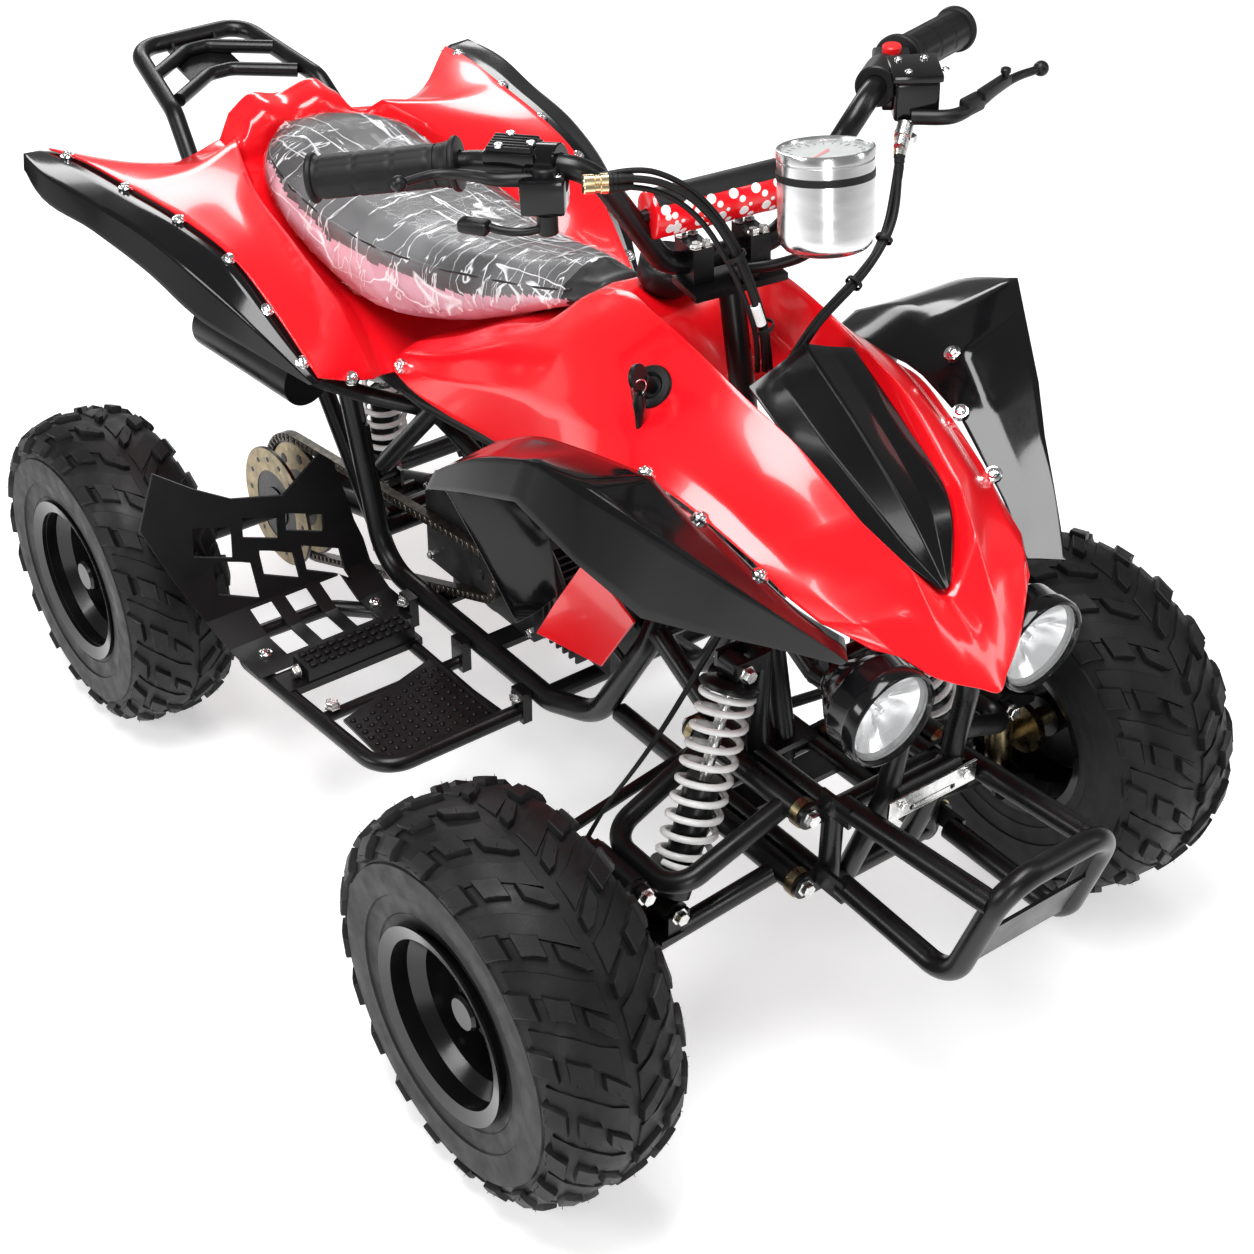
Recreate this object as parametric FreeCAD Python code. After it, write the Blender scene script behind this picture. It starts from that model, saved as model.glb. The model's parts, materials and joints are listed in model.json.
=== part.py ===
import FreeCAD, Part
import math
import os

# Youth quad bike in millimetres: +Z up, ground at Z 0, front towards -Y, rider's right towards -X.
# The origin lies on the ground under the middle of the whole machine.

# Largest share of a straight run that a bend at its end takes
BEND_SHARE = 0.45

# Wheels and tyres
FRONT_TYRE_RADIUS = 237.5
FRONT_TYRE_WIDTH = 178.0
REAR_TYRE_RADIUS = 227.0
REAR_TYRE_WIDTH = 156.0
FRONT_AXLE_Y = -520.0
WHEELBASE = 1032.0
FRONT_HALF_TRACK = 426.0
REAR_HALF_TRACK = 373.0
RIM_FLANGE_RADIUS = 117.0
RIM_SEAT_RADIUS = 103.0
RIM_WELL_DEPTH = 15.0
RIM_WALL = 3.0
FRONT_RIM_WIDTH = 172.0
FRONT_RIM_SHIFT = 6.0
REAR_RIM_WIDTH = 145.0
REAR_RIM_SHIFT = 3.5
BEAD_INSET = 9.0
FRONT_PITCHES = 20
REAR_PITCHES = 19
LUG_HEIGHT = 12.0
LUG_SWEEP_MIDDLE_DEG = 8.0
LUG_SWEEP_SHOULDER_DEG = 14.0
CROWN_DROP_MIDDLE = 6.0
CROWN_DROP_SHOULDER = 20.0
FRONT_DISC_OFFSET = 22.0
REAR_DISC_OFFSET = 18.0
HUB_CAP_RADIUS = 22.0
HUB_NECK_LENGTH = 38.0
HUB_RADIUS = 27.0
HUB_LENGTH = 46.0
REAR_HUB_RADIUS = 40.0
DISC_DISH = 14.0

# Steering
STEM_TOP = (0.0, -346.0, 896.0)
STEM_BOTTOM = (0.0, -478.6, 352.0)
STEM_DIAMETER = 28.0
STEM_BUSH_HEIGHT = 307.8
STEM_FOOT_RADIUS = 11.0
STEM_POST_DIAMETER = 17.0
KINGPIN_X = 322.0
KINGPIN_Y = -520.0
KINGPIN_LEAN_DEG = 7.0
KINGPIN_DIAMETER = 24.0
KINGPIN_LOW_Z = 198.0
KINGPIN_HIGH_Z = 318.0
SPINDLE_DIAMETER = 25.0
STEER_ARM_LENGTH = 100.0
DROP_ARM_LENGTH = 76.0
DROP_ARM_SPREAD = 22.0
DROP_ARM_RISE = 8.0
DROP_ARM_THICKNESS = 8.0
DROP_GAP = 3.0
TIE_ROD_DIAMETER = 14.0
TIE_ROD_END_DIAMETER = 22.0
TIE_ROD_END_HEIGHT = 14.0
BALL_STUD_DIAMETER = 10.0
RUNNING_GAP = 0.4
SEAT_GAP = 0.3
BAR_TURN_DEG = 12.0

# Frame
RAIL_DIAMETER = 30.0
FRAME_TUBE_DIAMETER = 25.0
RAIL_HALF_GAUGE = 100.0
RAIL_Z = 264.0
FRONT_HALF_GAUGE = 75.0
ARM_LOW_Z = 302.0
ARM_HIGH_Z = 402.0
ARM_FRONT_Y = -632.0
ARM_REAR_Y = -440.0
ARM_TUBE_DIAMETER = 25.0
ARM_SLEEVE_RADIUS = 15.0
ARM_BUSH_RADIUS = 17.0
ARM_BUSH_LENGTH = 11.0
ARM_LUG_THICKNESS = 6.0
OUTER_PIN_LENGTH = 76.0
UPPER_PIN = (278.0, 334.0)
LOWER_PIN = (294.0, 206.0)
SHOCK_TOP = (112.0, -512.0, 535.0)
SHOCK_FOOT = (226.0, -549.0, 274.0)
SHOCK_SPRING_RADIUS = 33.0
SPRING_WIRE_DIAMETER = 8.5
SPRING_PITCH = 18.0
SPRING_STEPS = 12
SPRING_SIDES = 6
SHOCK_CUP_DEPTH = 26.0
SHOCK_SEAT_HEIGHT = 52.0
SHOCK_EYE_RADIUS = 15.0
SHOCK_EYE_LENGTH = 28.0
SHOCK_EAR_THICKNESS = 5.0
REAR_SHOCK_TOP = (0.0, 372.0, 560.0)

STRIP_TUBE_Y = -698.0
STRIP_TUBE_Z = 448.0
STRIP_HOLE_RADIUS = 3.25
STRIP_HOLE_SPACING = 60.0
ENGINE_FLOOR_Z = 285.0
SIDE_COVER_X = 126.0
COWL_POST_Z = 683.2
TAIL_TUBE_Y = 156.0
TAIL_TUBE_Z = 589.6
LAMP_X = 106.0
LAMP_RADIUS = 56.0
LENS_RADIUS = 50.5
LAMP_TUBE_Y = -653.3
LAMP_TUBE_Z = 624.0
LAMP_TUBE_DIAMETER = 16.0

# Bumper, rack and footrests
BUMPER_TUBE_DIAMETER = 27.0
BUMPER_HALF_GAUGE = 81.0
BUMPER_FRONT_Y = -905.0
RACK_TUBE_DIAMETER = 25.0
RACK_REAR_Y = 884.0
RACK_Z = 803.0
FOOT_TUBE_DIAMETER = 22.0
FOOT_LOOP_Z = 238.0
FOOT_OUTER_X = 352.0

# Bodywork
PANEL_WALL = 4.0
SEAT_LIFT = -4.4
FENDER_LIFT = 5.4
INSERT_LIFT = -6.0
TRIM_LIFT = 3.0
LOCK_CENTRE = (-122.0, -376.0, 818.0)
LOCK_AXIS = (-0.72, -0.2, 0.66)
LOCK_RADIUS = 16.0

# Rear axle and drive
AXLE_DIAMETER = 30.0
SPROCKET_RADIUS = 88.0
SPROCKET_X = -72.0
DISC_RADIUS = 92.0
DISC_X = -116.0
DRIVE_SPROCKET_RADIUS = 28.0
ENGINE_SHAFT_Y = 40.0
ENGINE_SHAFT_Z = 345.0
CHAIN_WIDTH = 14.0
CHAIN_HEIGHT = 12.0
CHAIN_GAP = 1.0
SWING_ARM_LENGTH = 260.0
REAR_SHOCK_FOOT_INSET = 114.0
REAR_SHOCK_FOOT_Z = 300.0
SWING_PIVOT_Z = 312.0

# Handlebar
BAR_DIAMETER = 25.0
GRIP_DIAMETER = 44.0
GRIP_LENGTH = 164.0
GRIP_FLANGE_RADIUS = 28.0
PAD_DIAMETER = 52.0
CROSSBAR_DIAMETER = 14.0
CROSSBAR_Z = 992.0
GAUGE_BASE = (37.0, -480.0, 988.0)
GAUGE_DIAMETER = 98.0
GAUGE_HEIGHT = 104.0
CABLE_BUNDLE_DIAMETER = 13.0
BRAKE_HOSE_DIAMETER = 9.0

LAMP_CENTRE = (LAMP_X, -742.0, 602.0)
RIM_WELL_RADIUS = RIM_SEAT_RADIUS - RIM_WELL_DEPTH
FRONT_WHEEL_Z = FRONT_TYRE_RADIUS
REAR_AXLE_Y = FRONT_AXLE_Y + WHEELBASE
REAR_WHEEL_Z = REAR_TYRE_RADIUS
REAR_TYRE_FRONT_Y = REAR_AXLE_Y - REAR_TYRE_RADIUS
SWING_PIVOT_Y = REAR_AXLE_Y - SWING_ARM_LENGTH
REAR_SHOCK_FOOT = (0.0, REAR_AXLE_Y - REAR_SHOCK_FOOT_INSET, REAR_SHOCK_FOOT_Z)


def vec(x, y, z):
    return FreeCAD.Vector(x, y, z)


def mirrored(shape):
    """The same piece on the other side of the machine."""
    return shape.mirror(vec(0, 0, 0), vec(1, 0, 0))


def both_sides(shape):
    return Part.makeCompound([shape, mirrored(shape)])


def fused(shapes):
    """One solid from pieces that are welded together."""
    first = shapes[0]
    if len(shapes) == 1:
        return first
    return first.multiFuse(shapes[1:]).removeSplitter()


def welded(shapes):
    """One solid from many crossing tubes, joined one after another."""
    solid = shapes[0]
    for shape in shapes[1:]:
        solid = solid.fuse(shape)
    return solid.removeSplitter()


def box_between(low, high):
    """Upright box from its lowest corner to its highest."""
    return Part.makeBox(high[0] - low[0], high[1] - low[1], high[2] - low[2], vec(*low))


def rod(start, end, diameter):
    """Round bar from one point to another."""
    a = vec(*start)
    b = vec(*end)
    return Part.makeCylinder(diameter / 2, (b - a).Length, a, b - a)


def bend_radii(points, limit):
    """Radius of the arc at each inner point, no larger than the limit."""
    corners = [vec(*point) for point in points]
    radii = []
    for before, corner, after in zip(corners, corners[1:], corners[2:]):
        back = before - corner
        ahead = after - corner
        turn = math.pi - back.getAngle(ahead)
        radii.append(min(limit, BEND_SHARE * min(back.Length, ahead.Length) / math.tan(turn / 2)))
    return radii


def bent_path(points, bend_radius):
    """Wire of straight runs joined by tangent arcs."""
    corners = [vec(*point) for point in points]
    edges = []
    start = corners[0]
    for before, corner, after, radius in zip(corners, corners[1:], corners[2:], bend_radii(points, bend_radius)):
        back = before - corner
        ahead = after - corner
        turn = math.pi - back.getAngle(ahead)
        trim = radius * math.tan(turn / 2)
        back.normalize()
        ahead.normalize()
        first = corner + back * trim
        last = corner + ahead * trim
        bisector = back + ahead
        bisector.normalize()
        middle = corner + bisector * (radius / math.cos(turn / 2) - radius)
        if (first - start).Length > 1e-6:
            edges.append(Part.LineSegment(start, first).toShape())
        edges.append(Part.Arc(first, middle, last).toShape())
        start = last
    edges.append(Part.LineSegment(start, corners[-1]).toShape())
    return Part.Wire(edges)


def bent_tube(points, diameter, bend_radius):
    """Round tube swept along straight runs and bends."""
    path = bent_path(points, bend_radius)
    a = vec(*points[0])
    b = vec(*points[1])
    section = Part.Wire([Part.makeCircle(diameter / 2, a, b - a)])
    return path.makePipeShell([section], True, False)


def revolved(profile, origin, axis):
    """Solid turned about an axis from (radius, along) points."""
    along = vec(*axis)
    along.normalize()
    wire = Part.makePolygon([vec(radius, 0, height) for radius, height in profile + profile[:1]])
    solid = Part.Face(wire).revolve(vec(0, 0, 0), vec(0, 0, 1), 360)
    solid.Placement = FreeCAD.Placement(vec(*origin), FreeCAD.Rotation(vec(0, 0, 1), along))
    return solid


def flat_plate(points, thickness):
    """Plate from its corner points, in the plane of the first three, thickened to both sides."""
    corners = [vec(*point) for point in points]
    normal = (corners[1] - corners[0]).cross(corners[2] - corners[0])
    normal.normalize()
    corners = [corner - normal * (corner - corners[0]).dot(normal) for corner in corners]
    face = Part.Face(Part.makePolygon(corners + corners[:1]))
    solid = face.extrude(normal * thickness)
    solid.translate(normal * (-thickness / 2))
    return solid


def sheet_normals(rows):
    """Unit normal at each point of a grid."""
    normals = []
    for i, row in enumerate(rows):
        line = []
        for j, point in enumerate(row):
            down = rows[min(i + 1, len(rows) - 1)][j] - rows[max(i - 1, 0)][j]
            over = row[min(j + 1, len(row) - 1)] - row[max(j - 1, 0)]
            normal = down.cross(over)
            normal.normalize()
            line.append(normal)
        normals.append(line)
    return normals


def moulded_panel(rows, wall):
    """Faceted panel of constant wall, from stations of points along its outer face.

    The stations go rearwards and each one's points go towards +X, so that the wall lies on the underside.
    """
    outer = [[vec(*point) for point in row] for row in rows]
    normals = sheet_normals(outer)
    inner = [[point + normal * wall for point, normal in zip(*pair)] for pair in zip(outer, normals)]
    faces = []

    def facet(a, b, c):
        if (b - a).cross(c - a).Length > 1e-3:
            faces.append(Part.Face(Part.makePolygon([a, b, c, a])))

    def cell(a, b, c, d):
        facet(a, b, c)
        facet(a, c, d)

    for i in range(len(rows) - 1):
        for j in range(len(rows[0]) - 1):
            for side in (outer, inner):
                cell(side[i][j], side[i][j + 1], side[i + 1][j + 1], side[i + 1][j])
    for side in (0, -1):
        for j in range(len(rows[0]) - 1):
            cell(outer[side][j], outer[side][j + 1], inner[side][j + 1], inner[side][j])
        for i in range(len(rows) - 1):
            cell(outer[i][side], outer[i + 1][side], inner[i + 1][side], inner[i][side])
    shell = Part.makeShell(faces)
    shell.sewShape()
    solid = Part.makeSolid(shell)
    if solid.Volume < 0:
        solid.reverse()
    return solid


def faceted_solid(rings, closed):
    """Solid of flat facets through rings of points; a closed one runs round to its first ring."""
    faces = []

    def facet(a, b, c):
        if (b - a).cross(c - a).Length > 1e-3:
            faces.append(Part.Face(Part.makePolygon([a, b, c, a])))

    pairs = list(zip(rings, rings[1:]))
    if closed:
        pairs.append((rings[-1], rings[0]))
    else:
        for ring in (rings[0], rings[-1]):
            faces.append(Part.Face(Part.makePolygon(ring + ring[:1])))
    for near, far in pairs:
        for i in range(len(near)):
            j = (i + 1) % len(near)
            facet(near[i], near[j], far[j])
            facet(near[i], far[j], far[i])
    shell = Part.makeShell(faces)
    shell.sewShape()
    solid = Part.makeSolid(shell)
    if solid.Volume < 0:
        solid.reverse()
    return solid


def whole_rows(half_rows):
    """Stations of a symmetric panel from those of its left half, centre first."""
    return [[(-x, y, z) for x, y, z in row[:0:-1]] + row for row in half_rows]


# Tyres and wheels

def tyre(radius, width, rim_width, rim_shift, pitches, centre, outward):
    """Off-road tyre with a chevron lug at each pitch, made of flat facets; outward is +1 on the left side."""
    steps = 2 * pitches
    half = width / 2
    bead = (RIM_SEAT_RADIUS + SEAT_GAP) / math.cos(math.pi / steps)
    shoulder = radius - CROWN_DROP_SHOULDER
    middle = radius - CROWN_DROP_MIDDLE

    def section(high):
        rise = 0 if high else LUG_HEIGHT
        side = LUG_SWEEP_SHOULDER_DEG
        points = [(0.0, radius - rise, 0.0)]
        for hand in (1, -1):
            seat = rim_width / 2 + hand * rim_shift
            base = (hand * 0.9 * half, shoulder - LUG_HEIGHT, side)
            half_section = [
                (hand * 0.5 * half, middle - rise, LUG_SWEEP_MIDDLE_DEG),
                (hand * 0.86 * half, shoulder, side) if high else base,
                base, (hand * half, RIM_FLANGE_RADIUS + 48, side),
                (hand * (seat - 4), RIM_FLANGE_RADIUS + 4, side), (hand * (seat - BEAD_INSET), bead, side),
            ]
            points = points + half_section if hand > 0 else half_section[::-1] + points
        return points

    def ring(step, high):
        placed = []
        for x, r, sweep in section(high):
            angle = math.radians(360 * (step - 0.5) / steps + sweep)
            placed.append(vec(*centre) + vec(outward * x, -r * math.sin(angle), -r * math.cos(angle)))
        return placed

    rings = []
    for step in range(steps):
        rings += [ring(step, step % 2 == 1), ring(step, step % 2 == 0)]
    return faceted_solid(rings, True)


def rim(width, shift, disc_offset, centre, outward, bored):
    """Deep dished steel rim with its disc and hub neck; outward is +1 on the left side."""
    low = shift - width / 2
    high = shift + width / 2
    wall = RIM_WALL
    barrel = [
        (RIM_FLANGE_RADIUS, low), (RIM_FLANGE_RADIUS, low + wall),
        (RIM_SEAT_RADIUS, low + 8), (RIM_SEAT_RADIUS, low + 26), (RIM_WELL_RADIUS, low + 40),
        (RIM_WELL_RADIUS, high - 40), (RIM_SEAT_RADIUS, high - 26), (RIM_SEAT_RADIUS, high - 8),
        (RIM_FLANGE_RADIUS, high - wall), (RIM_FLANGE_RADIUS, high),
        (RIM_SEAT_RADIUS - wall, high - 5), (RIM_SEAT_RADIUS - wall, high - 27),
        (RIM_WELL_RADIUS - wall, high - 42), (RIM_WELL_RADIUS - wall, low + 42),
        (RIM_SEAT_RADIUS - wall, low + 27), (RIM_SEAT_RADIUS - wall, low + 5),
    ]
    edge = RIM_WELL_RADIUS - wall + 1
    disc = [
        (0, disc_offset), (edge, disc_offset - DISC_DISH),
        (edge, disc_offset - DISC_DISH + 4), (60, disc_offset + 5), (34, disc_offset + 5),
        (HUB_CAP_RADIUS, disc_offset + 9), (HUB_CAP_RADIUS, disc_offset + HUB_NECK_LENGTH - 4),
        (HUB_CAP_RADIUS - 3, disc_offset + HUB_NECK_LENGTH), (0, disc_offset + HUB_NECK_LENGTH),
    ]
    axis = (outward, 0, 0)
    pieces = [revolved(barrel, centre, axis), revolved(disc, centre, axis)]
    if bored:
        bore = SPINDLE_DIAMETER / 2 + RUNNING_GAP
        hub = [(bore, disc_offset - HUB_LENGTH), (HUB_RADIUS, disc_offset - HUB_LENGTH), (HUB_RADIUS, disc_offset + 1),
               (bore, disc_offset + 1)]
        pieces.append(revolved(hub, centre, axis))
    return fused(pieces)


def disc_inner_face(radius, disc_offset):
    """Distance of the dished disc's inner face from the wheel's middle, at a radius."""
    return disc_offset - DISC_DISH * radius / (RIM_WELL_RADIUS - RIM_WALL + 1)


# Frame

def frame():
    """Welded tube frame with its arm rails, shock towers, head tube and gussets."""
    rail = RAIL_DIAMETER
    tube = FRAME_TUBE_DIAMETER
    half = RAIL_HALF_GAUGE
    front = FRONT_HALF_GAUGE
    side = [
        bent_tube([(half + 5, 322, 585), (half, 238, RAIL_Z), (half, -150, RAIL_Z), (half - 14, -232, RAIL_Z + 22),
                   (half - 24, -318, 440), (40, -380, 700)], rail, 70),
        bent_tube([(48, -355, 668), (half, -180, 610), (half + 6, 100, 584), (half + 8, 560, 590)], tube, 90),
        rod((half, 228, 430), (half + 4, 82, 584), tube),
        rod((half, 245, 300), (half + 8, 430, 582), tube),
        rod((front, -262, ARM_LOW_Z), (front, ARM_FRONT_Y - 18, ARM_LOW_Z), tube),
        rod((front, -330, 462), (front, ARM_REAR_Y, ARM_HIGH_Z), tube),
        rod((front, ARM_REAR_Y, ARM_HIGH_Z), (front, ARM_FRONT_Y - 18, ARM_HIGH_Z), tube),
        rod((front, ARM_FRONT_Y - 10, ARM_LOW_Z), (front, ARM_FRONT_Y - 10, ARM_HIGH_Z), tube),
        rod((front, SHOCK_TOP[1], ARM_HIGH_Z), (front, SHOCK_TOP[1], SHOCK_TOP[2] + 10), tube),
        rod((front, SHOCK_TOP[1], SHOCK_TOP[2]), (42, -400, 640), tube),
        bent_tube([(46, ARM_FRONT_Y - 10, ARM_LOW_Z), (46, -690, 440), (46, -708, 570),
                   (46, LAMP_TUBE_Y + 2, LAMP_TUBE_Z + 1)], tube, 60),
        flat_plate([(half - 2, SWING_PIVOT_Y - 22, RAIL_Z + 6), (half - 2, SWING_PIVOT_Y + 18, RAIL_Z + 6),
                    (half - 2, SWING_PIVOT_Y + 53, 470), (half - 2, SWING_PIVOT_Y + 16, 470)], 6),
        rod((half - 20, -288, 384), (half + 10, -242, 456), 10),
        rod((half + 6, -242, 456), (SIDE_COVER_X - PANEL_WALL / 2 - SEAT_GAP, -242, 456), 14),
    ] + arm_lugs() + shock_bracket()
    across = [
        box_between((-half, -40, RAIL_Z + 12), (half, -8, ENGINE_FLOOR_Z - SEAT_GAP)),
        box_between((-half, 120, RAIL_Z - 14), (half, 148, RAIL_Z - 8)),
        box_between((-50, 122, RAIL_Z - 10), (50, 146, ENGINE_FLOOR_Z - SEAT_GAP)),
        box_between((-40, 56, 590), (40, 64, COWL_POST_Z)),
        rod((-half - 6, TAIL_TUBE_Y, TAIL_TUBE_Z), (half + 6, TAIL_TUBE_Y, TAIL_TUBE_Z), tube),
        rod((-LAMP_X - 12, LAMP_TUBE_Y, LAMP_TUBE_Z), (LAMP_X + 12, LAMP_TUBE_Y, LAMP_TUBE_Z), LAMP_TUBE_DIAMETER),
        rod((-half, SWING_PIVOT_Y, SWING_PIVOT_Z), (half, SWING_PIVOT_Y, SWING_PIVOT_Z), tube),
        rod((-half, -140, RAIL_Z), (half, -140, RAIL_Z), tube),
        rod((-half - 5, 330, 582), (half + 5, 330, 582), tube),
        rod((-half - 6, 60, 586), (half + 6, 60, 586), tube),
        rod((-half - 8, 548, 589), (half + 8, 548, 589), tube),
        rod((-front, ARM_REAR_Y, ARM_LOW_Z), (front, ARM_REAR_Y, ARM_LOW_Z), tube),
        rod((-front, ARM_FRONT_Y - 10, ARM_LOW_Z), (front, ARM_FRONT_Y - 10, ARM_LOW_Z), tube),
        rod((-front, ARM_FRONT_Y - 10, ARM_HIGH_Z), (front, ARM_FRONT_Y - 10, ARM_HIGH_Z), tube),
        rod((-46, STRIP_TUBE_Y, STRIP_TUBE_Z), (46, STRIP_TUBE_Y, STRIP_TUBE_Z), tube),
        rod((-46, -352, 664), (46, -352, 664), tube),
        stem_bush(),
        stem_foot(),
        rod((-front, -330, 462), (front, -330, 462), tube),
    ] + shock_ears(REAR_SHOCK_TOP, (1, 0, 0), (REAR_SHOCK_TOP[1] - 46, REAR_SHOCK_TOP[1] + 14),
                   (REAR_SHOCK_TOP[2] - 10, REAR_SHOCK_TOP[2] + 28))
    return welded(side + [mirrored(shape) for shape in side] + across)


def arm_lugs():
    """Plates on the front rails that hold the arms' sleeves at both ends."""
    lugs = []
    x = arm_sleeve_x()
    for height in (ARM_LOW_Z, ARM_HIGH_Z):
        for y in (ARM_FRONT_Y - ARM_LUG_THICKNESS, ARM_REAR_Y):
            plate = box_between((FRONT_HALF_GAUGE - 4, y, height - ARM_SLEEVE_RADIUS),
                                (x, y + ARM_LUG_THICKNESS, height + ARM_SLEEVE_RADIUS))
            eye = Part.makeCylinder(ARM_SLEEVE_RADIUS, ARM_LUG_THICKNESS, vec(x, y, height), vec(0, 1, 0))
            lugs.append(plate.fuse(eye))
    return lugs


def shock_ears(eye, axis, span_a, span_b):
    """Pair of ears either side of a shock's eye; the spans bound each ear in the plane across the eye's axis."""
    near = SHOCK_EYE_LENGTH / 2 + SEAT_GAP
    ears = []
    for side in (-1, 1):
        low = min(side * near, side * (near + SHOCK_EAR_THICKNESS))
        high = max(side * near, side * (near + SHOCK_EAR_THICKNESS))
        if axis[0]:
            ears.append(box_between((eye[0] + low, span_a[0], span_b[0]), (eye[0] + high, span_a[1], span_b[1])))
        else:
            ears.append(box_between((span_a[0], eye[1] + low, span_b[0]), (span_a[1], eye[1] + high, span_b[1])))
    return ears


def shock_bracket():
    """Forked bracket on the left tower for the front shock's upper eye."""
    x, y, z = SHOCK_TOP
    back = FRONT_HALF_GAUGE + FRAME_TUBE_DIAMETER / 2
    reach = SHOCK_EYE_LENGTH / 2 + SEAT_GAP + SHOCK_EAR_THICKNESS
    web = box_between((back - 3, y - reach, z - 4), (back + 4, y + reach, z + 16))
    return [web] + shock_ears(SHOCK_TOP, (0, 1, 0), (back, x + 14), (z - 4, z + 16))


def stem_point(distance):
    """Point on the stem's axis, measured up from its foot."""
    a = vec(*STEM_BOTTOM)
    along = vec(*STEM_TOP) - a
    along.normalize()
    return a + along * distance


def stem_axis():
    along = vec(*STEM_TOP) - vec(*STEM_BOTTOM)
    along.normalize()
    return along


def stem_bush():
    """Block on the upper cross tube that the stem turns in."""
    low = stem_point(STEM_BUSH_HEIGHT)
    outer = Part.makeCylinder(STEM_DIAMETER / 2 + 10, 34, low, stem_axis())
    arm = Part.makeBox(30, 44, 22, vec(-15, low.y + 4, low.z + 2))
    bore = Part.makeCylinder(STEM_DIAMETER / 2 + RUNNING_GAP, 60, low - stem_axis() * 10, stem_axis())
    return outer.fuse(arm).cut(bore)


def stem_foot():
    """Thrust boss under the stem, on a post from the plate between the lower rails."""
    top = stem_point(-RUNNING_GAP)
    boss = Part.makeCylinder(STEM_FOOT_RADIUS, 14, top, stem_axis() * -1)
    middle = top.y - 3
    post = rod((0, middle, ARM_LOW_Z), (0, middle, top.z - 6), STEM_POST_DIAMETER)
    reach = FRONT_HALF_GAUGE
    plate = box_between((-reach, middle - 23, ARM_LOW_Z - 4), (reach, middle + 21, ARM_LOW_Z + 4))
    return boss.fuse(post).fuse(plate)


def bumper():
    """Front guard: a tilted loop on four arms with flattened lugs, and its lower plate."""
    tube = BUMPER_TUBE_DIAMETER
    half = BUMPER_HALF_GAUGE
    low_z = ARM_LOW_Z + 16
    loop = bent_tube([
        (half, -672, low_z), (half + 2, BUMPER_FRONT_Y + 62, low_z - 6), (half - 4, BUMPER_FRONT_Y + 12, 470),
        (-half + 4, BUMPER_FRONT_Y + 12, 470), (-half - 2, BUMPER_FRONT_Y + 62, low_z - 6), (-half, -672, low_z),
    ], tube, 44)
    arms = [rod((side * half, -664, 424), (side * (half - 2), BUMPER_FRONT_Y + 24, 440), tube) for side in (1, -1)]
    inner = FRONT_HALF_GAUGE + FRAME_TUBE_DIAMETER / 2 + SEAT_GAP
    lugs = [box_between((inner, -684, z - 14), (inner + 5, ARM_FRONT_Y - ARM_LUG_THICKNESS - SEAT_GAP, z + 14))
            for z in (low_z, 424)]
    plate = flat_plate([
        (-half, BUMPER_FRONT_Y + 54, low_z + 14), (half, BUMPER_FRONT_Y + 54, low_z + 14),
        (half, BUMPER_FRONT_Y + 30, 398), (-half, BUMPER_FRONT_Y + 30, 398),
    ], 4)
    return fused([loop] + arms + [plate] + lugs + [mirrored(lug) for lug in lugs])


def front_plate():
    """Bare metal strip across the front tubes."""
    back = STRIP_TUBE_Y - FRAME_TUBE_DIAMETER / 2 - SEAT_GAP
    strip = box_between((-64, back - 3, STRIP_TUBE_Z - 24), (64, back, STRIP_TUBE_Z + 4))
    holes = [Part.makeCylinder(STRIP_HOLE_RADIUS, 5, vec(side * STRIP_HOLE_SPACING / 2, back - 4, STRIP_TUBE_Z - 17),
                               vec(0, 1, 0)) for side in (1, -1)]
    return strip.cut(Part.makeCompound(holes))


def rear_rack():
    """Grab rack: a rearward loop, its legs down to the frame, two bent cross tubes and a lamp bracket."""
    tube = RACK_TUBE_DIAMETER
    foot = RAIL_HALF_GAUGE + 8 + FRAME_TUBE_DIAMETER / 2 + RACK_TUBE_DIAMETER / 2 + SEAT_GAP
    loop = bent_tube([
        (-foot, 500, 589), (-foot, 590, 592), (-126, 655, 716), (-116, 715, 770), (-86, RACK_REAR_Y, RACK_Z),
        (86, RACK_REAR_Y, RACK_Z), (116, 715, 770), (126, 655, 716), (foot, 590, 592), (foot, 500, 589),
    ], tube, 40)
    cross = [bent_tube([(-96, y, z), (-18, y + 56, z + 3), (18, y + 56, z + 3), (96, y, z)], 20, 30)
             for y, z in ((806, 790), (738, 776))]
    plate = flat_plate([(-44, 800, 772), (44, 800, 772), (44, 868, 786), (-44, 868, 786)], 4)
    ears = [flat_plate([(x, 856, 782), (x, 886, 790), (x, 890, 814), (x, 868, 806)], 4) for x in (-34, 34)]
    return fused([loop] + cross + [plate] + ears)


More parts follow.
